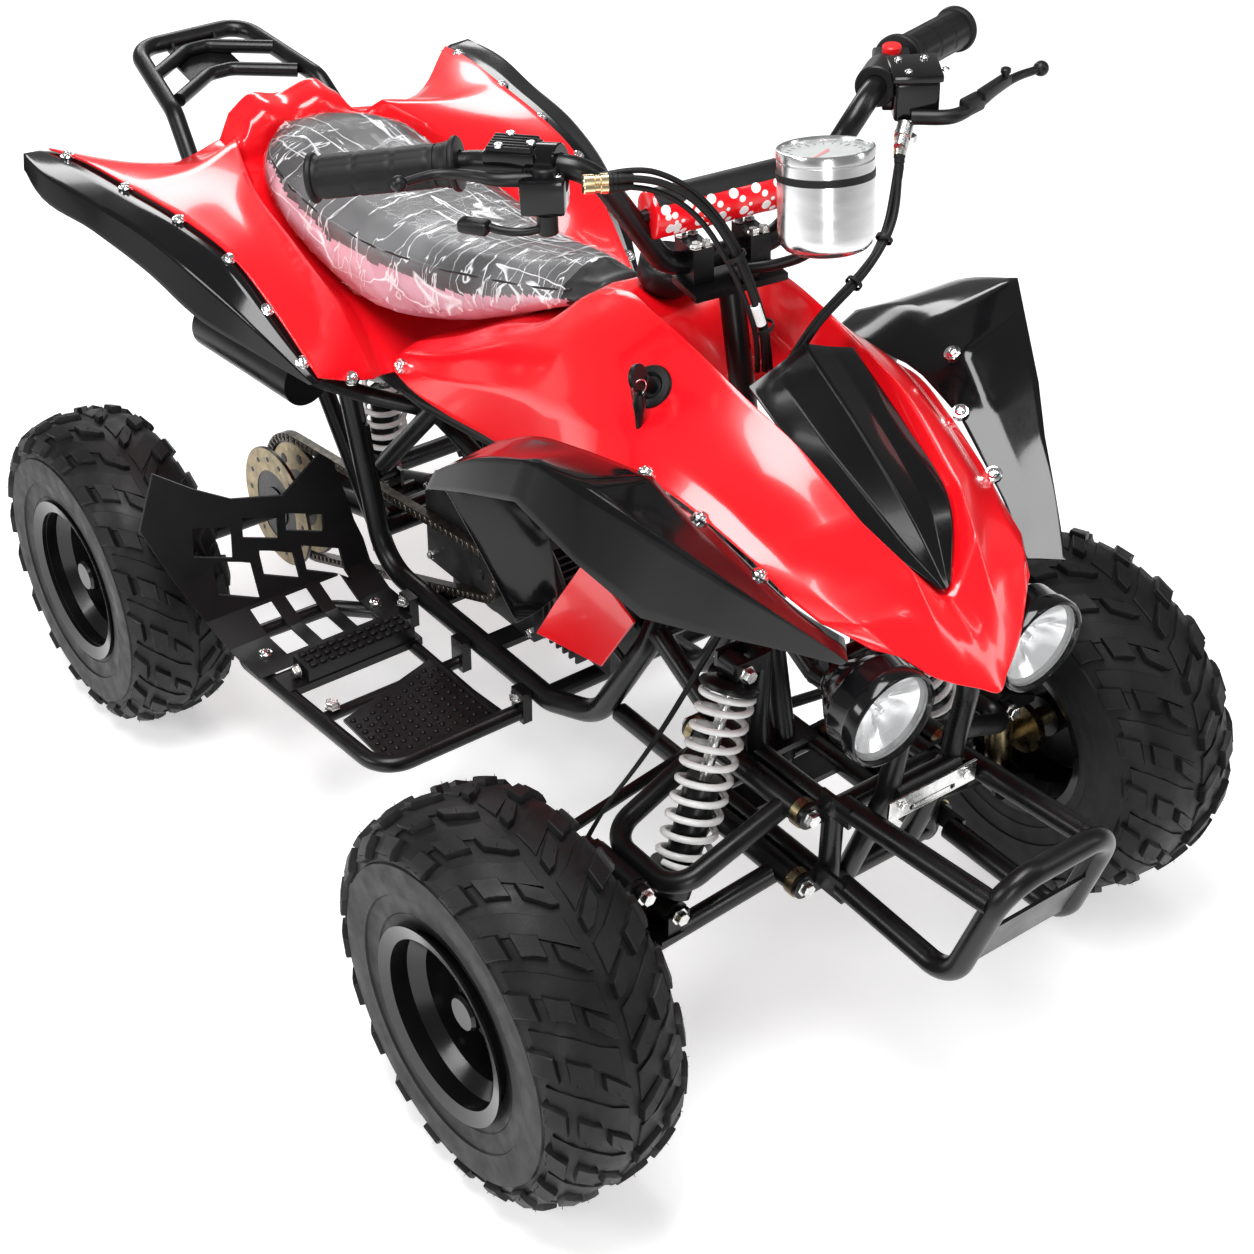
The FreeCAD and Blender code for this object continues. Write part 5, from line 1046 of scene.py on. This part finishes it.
def make_drive():
    """Chain links, rings of the sprocket and disc with black discs painted as the shade in their holes, and
    the engine's covers with their screws.
    """
    ends = [((DRIVE_X, y, z), (side, 0, 0)) for y, z in chain_line(CHAIN_PITCH) for side in (-1, 1)]
    link = [(5.6, 6.4), (5.6, 8.0), (4.8, 8.6), (2.6, 8.6), (2.4, 9.6)]
    turned_set("ChainLinks", ends, link, "chain", segments=10)
    axle = REAR_AXLE[1:]
    rings = []
    for x, reach, inner, outer in ((DRIVE_X, 3.0, 44, 86), (BRAKE_X, 2.0, 56, 91)):
        profile = [(inner, reach - 0.2), (inner, reach + 0.7), (outer, reach + 0.7), (outer, reach - 0.2)]
        rings += [lathe("Ring", profile, (x, *axle), (side, 0, 0), "bronze", "rear_axle", 60)
                  for side in (-1, 1)]
    joined("AxleRings", rings)
    # Black discs on the rings stand in for the holes: painted shade where the openings look dark.
    for name, x, radius, count, profile, segments in (
        ("SprocketHoleShade", DRIVE_X, 65, 8, [(8, 3.5), (8, 4.0), (7, 4.1)], 18),
        ("DiscHoleShade", BRAKE_X, 74, 14, [(4, 2.5), (4, 2.9), (3.4, 3.0)], 14),
    ):
        degrees = [360 * k / count for k in range(count)]
        spots = [spot for side in (-1, 1) for spot in on_circle(x, axle, radius, degrees, side)]
        turned_set(name, spots, profile, "plastic", "rear_axle", segments=segments)
    screws = on_circle(COVER_X, SHAFT, 54, range(30, 390, 60))
    screws += on_circle(COVER_X, SECOND_COVER, 47, range(-75, 76, 50))
    screws += [((-61, y, z), (-1, 0, 0)) for y in (-50, 60, 180) for z in (295, 405)]
    hex_bolts("CoverScrews", screws, SMALL_HEX)
    for name, centre, size in (("ClutchCover", SHAFT, 44), ("FlywheelCover", SECOND_COVER, 38)):
        profile = [(0, -0.5), (0, 2.2), (1.6, 3.6), (10, 4.2), (12, 2.6), (20, 2.6), (22, 4.4),
                   (size - 0.01, 5.2)]
        lathe(name, [(size - inset, rise) for inset, rise in profile], (COVER_X, *centre), (1, 0, 0), "cast",
              segments=48)
    plug = [(0.01, 0), (10, 0), (10, 5), (6.5, 6), (6.5, 15), (9, 16), (9, 34), (7, 38), (0.01, 39)]
    lathe("SparkPlug", plug, (0, -204, 372), (0, -1, 0.25), "plastic", segments=20)


make_drive()


# Footrests: rubber blocks on the peg, pips on the tread plate

def make_footrest_details():
    """Blocks on the pegs, pips on the tread plates and the loops' bolts."""
    places = [(hand * (164 + step * 14.2), 86.5 + row * 13.6) for hand in (-1, 1) for row in range(3)
              for step in range(11)]
    pads = [block("Pad", (x - 4.6, y - 4.4, 268.6), (x + 4.6, y + 4.4, 273.6), "rubber", bevel=1.2,
                  segments=1) for x, y in places]
    joined("PegBlocks", pads)
    grid = [(166 + step * 14.5, -102 + row * 14.5 + (step % 2) * 7) for row in range(9) for step in range(11)]
    pips = [((x, y, 243.8), UP) for x, y in grid if y < 28 - (x - 158) * 0.28]
    turned_set("TreadPips", both_hands(pips), [(4.2, 0), (3.4, 2.0), (1.8, 2.8)], "powder", segments=8)
    ends = [((322, 100, 259), (1, 0, 0)), ((320, 20, 249), UP), ((130, -118, 262), UP), ((130, 146, 262), UP)]
    hex_bolts("FootBolts", both_hands(ends), HEX)


make_footrest_details()


# Springs and damper rods

def make_spring(name, top, foot, turns):
    """Open coil with closed end turns round a damper."""
    a, b = Vector(top), Vector(foot)
    along = (b - a).normalized()
    length = (b - a).length
    across = along.cross(Vector((0, 1, 0))).normalized()
    third = along.cross(across)
    wire = 4.1
    start, end = 26.4 + wire, length - 52.4 - wire
    path = []
    steps = int((turns + 1.5) * 20)
    for i in range(steps + 1):
        turn = (turns + 1.5) * i / steps
        lift = min(max(turn - 0.75, 0.0), turns) / turns
        ends = min(turn / 0.75, 1) + max(0.0, (turn - turns - 0.75) / 0.75)
        angle = 2 * math.pi * turn
        path.append(a + along * (start + (end - start) * (0.025 * ends + 0.95 * lift))
                    + (across * math.cos(angle) + third * math.sin(angle)) * (33 - wire - 0.2))
    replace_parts(tube(name, path, wire, "spring", segments=8), "springs")
    rings = length - 52
    for part, profile, finish, segments in (
        ("Rod", [(0, 25.6), (7.2, 25.6), (7.2, length * 0.46)], "steel", 20),
        ("Cup", [(18, 20), (33.6, 20.5), (34.2, 22), (34.2, 25.4), (33, 26.2), (12, 26.2)], "plastic", 36),
        ("Collar", [(20.4, rings - 0.2), (33.4, rings - 0.2), (34.2, rings + 1), (34.2, rings + 5.5),
                    (33, rings + 6.8), (21, rings + 8.2)], "powder", 36),
    ):
        lathe(name + part, profile, top, along, finish, segments=segments)


make_spring("SpringRight", mirror_point(SHOCK_TOP), mirror_point(SHOCK_FOOT), 9)
make_spring("SpringLeft", SHOCK_TOP, SHOCK_FOOT, 9)
make_spring("SpringRear", REAR_SHOCK_TOP, REAR_SHOCK_FOOT, 8.5)


# Lamps

LAMP_AXIS = Vector((0, -0.998, -0.06))


def make_lamp(hand, name):
    """Round lamp: deep can with a cone behind, a rim, clear lens over a reflector of cells."""
    centre = (hand * 106.0, -742.0, 602.0)
    shell = lathe("Lamp" + name, [
        (10, -80.5), (22, -80.5), (24.5, -79), (26, -74), (35, -63), (45, -50), (49.5, -43), (52, -37.5),
        (54, -36), (54.6, -33), (54.6, -14), (55.4, -12.5), (56, -10), (56, 3), (55, 5), (53.4, 5.8),
        (51.6, 4.6), (51.2, 1), (50.6, -4), (48, -4.6), (46, -20), (38, -30), (20, -34), (0.01, -34.5),
    ], centre, LAMP_AXIS, "gloss", segments=56)
    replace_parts(shell, "headlights")
    cover = [(50.4, -2.5), (50.4, 0), (46, 1.6), (36, 3.4), (20, 4.6), (0.01, 5)]
    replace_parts(lathe("Lens" + name, cover, centre, LAMP_AXIS, "glass", segments=56), "lenses")
    turn = turn_to(LAMP_AXIS)
    points = []
    rings = (6, 17, 22, 30, 38, 46)
    for ring, radius in enumerate(rings):
        for angle in around(60):
            cell = 3.2 * (0.5 + 0.5 * math.cos(angle * 5)) ** 3 if 1 < ring < 5 else 0
            depth = -29 + 23 * (radius / 47) ** 2 - cell
            points.append(Vector(centre) + turn @ polar(radius, angle, depth))
    mesh = mesh_of("Bowl" + name, points, grid_faces(len(rings), 60))
    sharpen(mesh, 24)
    add_object("Bowl" + name, mesh, "reflector")
    bulb = [(0.01, -12), (3.4, -13), (4.6, -16), (4.6, -24), (7, -26), (7, -29)]
    lathe("Bulb" + name, bulb, centre, LAMP_AXIS, "chrome", segments=16)


make_lamp(-1, "Right")
make_lamp(1, "Left")


# Seat, with its sides, welt and clear film

SEAT_STATIONS = [
    (-158, 44, 812, 842), (-100, 66, 786, 830), (0, 84, 736, 806), (100, 104, 694, 790),
    (200, 124, 672, 784), (300, 132, 680, 786), (400, 128, 700, 796), (490, 108, 726, 808),
    (556, 62, 752, 802),
]
SEAT_LIFT = -4.4


def seat_section(station, inset):
    """Section of the cushion, crowned on top and drawn in below."""
    y, half, low, high = station
    half -= inset
    low += inset * 0.5 + SEAT_LIFT
    high += SEAT_LIFT - inset * 0.8
    crown = high - 14
    profile = [(0, low), (half * 0.55, low), (half - 8, low + 1), (half + 1, low + (crown - low) * 0.25),
               (half + 3, (low + crown) / 2), (half - 1, crown - 8), (half - 9, crown),
               (half * 0.7, high - 3), (half * 0.4, high), (0, high + 1)]
    ring = profile + [(-x, z) for x, z in profile[-2:0:-1]]
    return [(x, y, z) for x, z in ring]


def make_seat():
    """Padded cushion with its welt and wrapping; the sides are of the paler finish."""
    rows = [seat_section(station, 5.0) for station in SEAT_STATIONS]
    grid = list(zip(*[smooth_line(column, (), 6) for column in zip(*rows)]))
    points = [point for row in grid for point in row]
    seat = add_object("Cushion", mesh_of("Cushion", points, capped_faces(len(grid), len(grid[0]))), "vinyl")
    remesh = seat.modifiers.new("Remesh", "REMESH")
    remesh.mode = "VOXEL"
    remesh.voxel_size = 0.0055
    applied(seat)
    swell(seat, 0.006, 3.0)
    smooth = seat.modifiers.new("Smooth", "SMOOTH")
    smooth.iterations = 4
    applied(seat)
    mesh = seat.data
    mesh.materials.clear()
    for finish in ("vinyl", "side"):
        mesh.materials.append(FINISH[finish])
    mesh.shade_smooth()
    for face in mesh.polygons:
        centre = face.center
        half, crown = seat_edge(centre.y / MM)
        outside = abs(centre.x) / MM > half - 9
        low = centre.z / MM < crown - 7
        face.material_index = 1 if (outside or face.normal.z < 0.1) and low and centre.y > -0.12 else 0
    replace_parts(seat, "seat")
    make_welt(seat)
    make_film(seat)


def seat_edge(y):
    """Half width and height of the cushion's upper edge at a distance along it."""
    stations, halves, _, tops = zip(*SEAT_STATIONS)
    return float(np.interp(y, stations, halves)), float(np.interp(y, stations, tops)) + SEAT_LIFT - 12


def swell(piece, limit, pressure):
    """Cloth simulation with air pressure inside, held to a largest move, left applied."""
    start = np.empty(len(piece.data.vertices) * 3)
    piece.data.vertices.foreach_get("co", start)
    cloth = piece.modifiers.new("Cloth", "CLOTH")
    cloth.settings.use_pressure = True
    cloth.settings.uniform_pressure_force = pressure
    cloth.settings.effector_weights.gravity = 0
    cloth.settings.quality = 4
    cloth.point_cache.frame_start = 1
    cloth.point_cache.frame_end = 20
    for number in range(1, 21):
        scene.frame_set(number)
    applied(piece)
    scene.frame_set(1)
    end = np.empty_like(start)
    piece.data.vertices.foreach_get("co", end)
    move = (end - start).reshape(-1, 3)
    reach = np.linalg.norm(move, axis=1, keepdims=True)
    move *= np.minimum(1.0, limit / np.maximum(reach, 1e-9))
    piece.data.vertices.foreach_set("co", (start.reshape(-1, 3) + move).ravel())
    piece.data.update()


def make_welt(seat):
    """Sewn welt along the edge between the seat's top and sides."""
    tree = BVHTree.FromObject(seat, bpy.context.evaluated_depsgraph_get())
    path = []
    for hand in (1, -1):
        run = []
        for y in range(-120, 551, 14):
            half, crown = seat_edge(y)
            spot, normal, _, _ = tree.find_nearest(Vector((hand * (half - 5), y, crown - 2)) * MM)
            run.append((spot + normal * 0.0004) / MM)
        path += run if hand > 0 else run[::-1]
    tube("SeatWelt", path, 2.0, "vinyl", segments=7)


def make_film(seat):
    """Clear wrapping pulled over the seat, raised along broad and fine creases."""
    mesh = seat.data.copy()
    mesh.name = "SeatFilm"
    mesh.materials.clear()
    mesh.materials.append(FINISH["film"])
    for face in mesh.polygons:
        face.material_index = 0
    normals = [vertex.normal.copy() for vertex in mesh.vertices]
    for vertex, normal in zip(mesh.vertices, normals):
        place = vertex.co * 1000
        crease = 1 - abs(noise.noise(Vector((place.x / 26, place.y / 70, place.z / 30))) * 2)
        fine = Vector((place.x / 14, place.y / 16, place.z / 15)) + Vector((7, 3, 1))
        small = 1 - abs(noise.noise(fine) * 2)
        vertex.co += normal * (1.0 + 2.4 * max(crease, 0) ** 3 + 1.0 * max(small, 0) ** 4) * MM
    work = bmesh.new()
    work.from_mesh(mesh)
    low = [face for face in work.faces if face.normal.z < -0.4 or face.calc_center_median().y < -0.11]
    bmesh.ops.delete(work, geom=low, context="FACES")
    area = sum(face.calc_area() for face in work.faces)
    work.to_mesh(mesh)
    work.free()
    mesh.shade_smooth()
    film = add_object("SeatFilm", mesh, "film")


make_seat()


# Handlebar fittings

GRIP_SEGMENTS = 72
LEVER_RADII = (8.5, 8, 7, 6, 5, 4.4)


def grip_mesh(hand, name):
    """Rubber grip: end disc, three rows of raised pads round it, collar and inner flange."""
    inner, outer = [Vector((hand * x, y, z)) for x, y, z in BAR_LINE[-2:]]
    along = (inner - outer).normalized()
    profile = [(0.01, -1.0), (12, -1.0), (13, 0.6), (22, 1.0), (25.4, 2.4), (26.6, 5), (25.4, 8), (22.6, 9.4)]
    profile += [(22.0, 12 + 2.2 * i) for i in range(56)]
    profile += [(22.4, 135), (22.4, 138), (21.2, 138.6), (21.2, 140.4), (22.8, 141), (22.8, 147), (24, 149),
                (24, 154), (27, 155.4), (28.6, 157.4), (28.6, 160.4), (27, 162.4), (19, 163.4), (14, 163.4)]
    turn = turn_to(along)
    points = []
    for radius, rise in profile:
        for angle in around(GRIP_SEGMENTS):
            size = radius
            if 13 < rise < 133.5:
                u = abs(((rise - 13) / 40.2) % 1.0 - 0.5)
                w = abs((angle * 8 / (2 * math.pi)) % 1.0 - 0.5)
                corner = math.hypot(max(u - 0.32, 0) / 0.12, max(w - 0.16, 0) / 0.2)
                size += 0.9 if max(u / 0.44, w / 0.36) < 1 and corner < 1 else 0.0
            points.append(outer + turn @ polar(size, angle, rise))
    mesh = mesh_of("Grip" + name, points, grid_faces(len(profile), GRIP_SEGMENTS))
    sharpen(mesh, 38)
    grip = on_bar(add_object("Grip" + name, mesh, "rubber", "steering"))
    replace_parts(grip, "grips")
    on_bar(lathe("GripEnd" + name, [(0.01, -2.2), (7, -2.0), (8.6, -1.0), (8.6, 0.4)], outer, along, "chrome",
                 "steering", segments=24))


def make_pad():
    """Round crossbar pad with rows of pale dots and a black strip on top."""
    low, high = Vector(BAR_LINE[1]), Vector(BAR_LINE[2])
    end = low + (high - low) * ((992 - low.z) / (high.z - low.z))
    reach = end.x - 18
    half = [(7.4, reach), (21, reach), (24.4, reach - 1.2), (25.8, reach - 4)]
    profile = [(radius, -along) for radius, along in half] + half[::-1]
    body = on_bar(lathe("CrossbarPad", profile, (0, end.y, end.z), (1, 0, 0), "red", "steering", segments=48))
    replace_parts(body, "crossbar_pad")
    angles = [math.radians(angle) for angle in range(40, 141, 10)]
    strip = [[(x, end.y + 26.2 * math.cos(a), end.z + 26.2 * math.sin(a))
              for x in np.linspace(-reach + 5, reach - 5, 9)] for a in angles]
    on_bar(add_object("PadStrip", grid_mesh("PadStrip", strip), "plastic", "steering"))
    dots = []
    for shift, size in enumerate((5.4, 3.6, 2.2)):
        spots = []
        for row in range(5):
            a = math.radians(150 + row * 48 + shift * 17)
            away = (0, math.cos(a), math.sin(a))
            for step in range(7):
                x = -reach + 11 + (step * 26 + row * 11 + shift * 9) % (2 * reach - 22)
                spots.append(((x, end.y + 25.7 * away[1], end.z + 25.7 * away[2]), away))
        profile = [(size, -1.4), (size, 0.1), (size * 0.6, 0.4)]
        dots.append(turned_set("Dots", spots, profile, "dots", "steering", 14))
    on_bar(joined("PadDots", dots))


def make_gauge():
    """Round speed gauge: turned can, polished rim, pale dial with ticks, pointer and glass."""
    base = Vector((30.8, -492.8, 988.9))
    axis = Vector((0.07, 0.19, 1)).normalized()
    can = lathe("GaugeCan", [
        (0.01, 0), (30, 0), (36, 1.4), (42, 4.4), (46, 9), (47.8, 15), (48.2, 22), (48.2, 92), (47.2, 93),
        (47.2, 94), (49, 95), (49, 102), (48.4, 103.6), (47, 104), (44.6, 103.2), (43.6, 100), (43.6, 97),
        (0.01, 97),
    ], base, axis, "alloy", "steering", segments=72)
    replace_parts(on_bar(can), "gauge_pod")
    for name, profile, finish, segments in (
        ("GaugeBand", [(48.1, 74), (49, 74.6), (49, 81.4), (48.1, 82)], "rubber", 64),
        ("GaugeDial", [(43.4, 97.6), (0.01, 97.6)], "dial", 48),
        ("GaugeGlass", [(43.8, 101.4), (30, 102.4), (0.01, 102.8)], "glass", 64),
    ):
        on_bar(lathe(name, profile, base, axis, finish, "steering", segments=segments))
    turn = turn_to(axis)
    middle = base + axis * 98
    marks = []
    for k in range(21):
        away = turn @ polar(1, math.radians(225 - k * 13.5))
        inner = 32 if k % 5 == 0 else 35.5
        marks.append(tube("Mark", [middle + away * inner, middle + away * 40], 0.6, "plastic", "steering", 4))
    pointer = turn @ polar(1, math.radians(215))
    raised = base + axis * 98.8
    marks.append(tube("Pointer", [raised - pointer * 6, raised + pointer * 33], 1.0, "switch", "steering", 5,
                      radii=[1.8, 0.6]))
    on_bar(joined("GaugeMarks", marks))
    stalk = smooth_line([(34, -470, 990), (33, -452, 968), (22, -412, 940), (9, -368, 918)], (), 5)
    on_bar(tube("GaugeStalk", stalk, 6, "powder", "steering"))
    on_bar(block("GaugeFoot", (-6, -374, 908), (20, -356, 920), "powder", "steering", 2))


def make_lever(name, route):
    """Ball-ended hand lever, thinner towards its end."""
    path = smooth_line(route, (), 7)
    reach = np.linspace(0, len(LEVER_RADII) - 1, len(path))
    spread = [float(size) for size in np.interp(reach, range(len(LEVER_RADII)), LEVER_RADII)]
    arm = tube(name, path, 5, "plastic", "steering", segments=14, radii=spread)
    angles = [math.radians(a) for a in range(0, 181, 15)]
    ball = [(0.01 + 8.6 * math.sin(a), -8.6 * math.cos(a)) for a in angles]
    on_bar(joined(name, [arm, lathe(name + "Ball", ball, route[-1], UP, "plastic", "steering", segments=24)]))


def fitting(name, rows, extra=()):
    """One piece on the bar, from rows of blocks (low, high, finish, bevel, turn) and turned parts.

    A turned part's row has a profile, centre, axis, finish and number of segments.
    """
    parts = []
    for label, first, second, third, fourth, *last in rows:
        if isinstance(first, list):
            parts.append(lathe(label, first, second, third, fourth, "steering", segments=last[0]))
        else:
            parts.append(block(label, first, second, third, "steering", fourth, *last))
    return on_bar(joined(name, parts + list(extra)))


def make_right_controls():
    """Brake perch, lever, thumb throttle and cable fittings at the right grip."""
    arm = smooth_line([(-202, -337, 1006), (-222, -332, 1003), (-244, -320, 1004), (-258, -306, 1007)], (), 5)
    body = fitting("PerchRight", [
        ("Perch", (-222, -350, 1022), (-176, -300, 1060), "gloss", 4, -30),
        ("PerchArm", (-206, -344, 1018), (-178, -312, 1034), "gloss", 3, -38),
        ("TopBox", (-244, -314, 1066), (-190, -272, 1080), "gloss", 3, -40),
        ("TopLid", (-241, -311, 1079), (-193, -275, 1084), "plastic", 2, -40),
        ("PivotCap", [(15, 0), (15, 9), (13.6, 10.6), (9.4, 10.6), (9, 9.2), (4.4, 9.2), (4.2, 6.8),
                      (0.01, 6.8)], (-198, -326, 1057), UP, "plastic", 32),
        ("ClampRing", [(12.8, 0), (21, 0), (22.4, 1.4), (22.4, 30), (21, 31.4), (12.8, 31.4)],
         (-180, -326, 1063), (-0.68, 0.73, -0.09), "gloss", 36),
        ("ThrottlePost", [(0.01, -12), (9.6, -12), (11, -10.6), (11, 10), (9.6, 11.4), (0.01, 11.4)],
         (-202, -336, 1010), UP, "plastic", 28),
        ("ThrottlePaddle", (-284, -308, 999), (-250, -290, 1013), "plastic", 5, -48, 3),
    ], [tube("ThrottleArm", arm, 4.6, "plastic", "steering", segments=10)])
    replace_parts(body, "controls_right")
    make_lever("LeverRight", [(-178, -334, 1044), (-213, -324, 1054), (-244, -310, 1056), (-263, -288, 1056),
                              (-289, -268, 1056), (-333, -269, 1056)])
    lines = [-310 + k * 6.2 for k in range(6)]
    ribs = [block("Rib", (-240, y, 1082.6), (-194, y + 3, 1085), "plastic", "steering", 0.8) for y in lines]
    centre = Vector((-217, -293, 1082)) * MM
    whole = joined("TopRibs", ribs)
    whole.data.transform(Matrix.Translation(centre) @ Matrix.Rotation(math.radians(-40), 4, "Z")
                         @ Matrix.Translation(-centre))
    on_bar(whole)
    fitting("GoldFitting", [
        ("GoldBlock", (-236, -286, 1054), (-210, -260, 1066), "brass", 2, -30),
        ("GoldPost", [(0.01, 0), (7.6, 0), (7.6, 13), (6.6, 14), (0.01, 14)], (-226, -274, 1064), UP,
         "brass", 20),
        ("GoldNut", [(0.01, 0), (5.6, 0), (5.6, 12), (0.01, 12)], (-212, -282, 1062), UP, "brass", 6),
    ])
    screws = [(place, UP) for place in ((-234, -296, 1084), (-204, -308, 1084), (-212, -276, 1084),
                                        (-190, -340, 1058))]
    on_bar(turned_set("PerchScrews", screws, [(5, 0), (5, 2), (4, 3), (2, 3), (1.8, 2)], "chrome",
                      "steering", 12))
    cable_end("BarrelRight", RIGHT_HARNESS)
    cable_end("BarrelLow", RIGHT_CABLE)


def cable_end(name, route):
    """Brass adjuster and tapered boot where a cable leaves its perch."""
    a = Vector(route[0]) / MM
    along = (Vector(route[1]) / MM - a).normalized()
    adjuster = [(0.01, -25), (5.6, -25), (6.4, -24), (6.4, -14), (5.2, -13), (5.2, -8), (6.6, -7.2), (6.6, 0),
                (0.01, 0)]
    boot = [(6.2, -0.4), (6.4, 4), (5.6, 5), (5.8, 9), (5.0, 10), (5.2, 14), (4.2, 22), (3.8, 26)]
    lathe(name, adjuster, a, along, "brass", "steering", segments=18)
    lathe(name + "Boot", boot, a, along, "rubber", "steering", segments=20)


def make_left_controls():
    """Reservoir, lever, switch, park lock and cable fittings at the left grip."""
    neck_place = (200, -358, 1022)
    body = fitting("PerchLeft", [
        ("Reservoir", (206, -356, 1030), (254, -300, 1074), "gloss", 5, -24, 3),
        ("ReservoirLid", (203, -359, 1073), (257, -297, 1082), "gloss", 3, -24),
        ("LeftClamp", [(12.8, 0), (21, 0), (22.4, 1.4), (22.4, 46), (21, 47.4), (12.8, 47.4)],
         (189, -317, 1062), (0.68, 0.73, -0.09), "plastic", 36),
        ("LeftArm", (206, -330, 1034), (238, -284, 1060), "gloss", 3, -30),
        ("SwitchBody", (214, -292, 1056), (254, -256, 1076), "plastic", 4, -30),
        ("ParkLock", (284, -364, 1045), (338, -352, 1056), "plastic", 2, 26),
        ("ParkFoot", (262, -376, 1034), (292, -362, 1052), "plastic", 3, 20),
        ("ParkPin", [(0.01, 0), (4.4, 0), (4.4, 9), (5.6, 10), (5.6, 14), (4.4, 15), (0.01, 15)],
         (330, -350, 1050), UP, "plastic", 14),
    ])
    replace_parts(body, "controls_left")
    make_lever("LeverLeft", [(214, -352, 1036), (250, -376, 1038), (284, -366, 1040), (316, -350, 1042),
                             (358, -334, 1044), (389, -331, 1045)])
    fitting("KillSwitch", [("Button", [(0.01, 0), (9, 0), (10.4, 1), (10.4, 7), (9, 8.6), (0.01, 9)],
                            (236, -272, 1075), UP, "switch", 28)])
    fitting("LeftSteel", [
        ("Barrel", [(0.01, -12), (9, -12), (9, 4), (6.6, 5), (6.6, 16), (0.01, 16)], neck_place,
         (-0.6, -0.6, -0.5), "steel", 20),
        ("Nut", [(0.01, 0), (8, 0), (8, 7), (0.01, 7)], (212, -352, 1016), (0, 0, -1), "steel", 6),
    ])
    lid = [((x, y, 1082), UP) for x, y in ((214, -342), (250, -356), (222, -308), (248, -318))]
    on_bar(turned_set("LidScrews", lid, [(4.4, 0), (4.4, 1.6), (3.4, 2.6), (1.8, 2.6), (1.6, 1.6)], "chrome",
                      "steering", 12))
    cable_end("BarrelLeft", LEFT_HARNESS)
    a = Vector(LEFT_HARNESS[0]) / MM
    neck = BAR_MATRIX @ (Vector(neck_place) * MM) / MM
    tube("LeftNeck", [neck, neck.lerp(a, 0.5) + Vector((2, 0, 2)), a], 7, "steel", "steering", segments=16)


def make_handlebar():
    """Everything that rides on the bar."""
    for hand, name in ((-1, "Right"), (1, "Left")):
        grip_mesh(hand, name)
    make_pad()
    make_gauge()
    make_right_controls()
    make_left_controls()


make_handlebar()


# Floor

FLOOR_REACH = 16000.0


def make_floor():
    """White floor that glows a little, as in a studio."""
    corners = [(x * FLOOR_REACH, y * FLOOR_REACH, 0) for x, y in ((-1, -1), (1, -1), (1, 1), (-1, 1))]
    mesh = mesh_of("Floor", corners, [(0, 1, 2, 3)])
    floor = new_object("Floor", mesh)
    floor.location = (0, 0, -0.0005)
    material = plain_material("FloorWhite", (0.88, 0.88, 0.88), 0.9, specular=0.1)
    shader_of(material).inputs["Emission Color"].default_value = (1, 1, 1, 1)
    shader_of(material).inputs["Emission Strength"].default_value = 0.46
    add_tone(material, (0.87, 0.87, 0.87), (0.89, 0.89, 0.89), 0.6)
    mesh.materials.append(material)


make_floor()
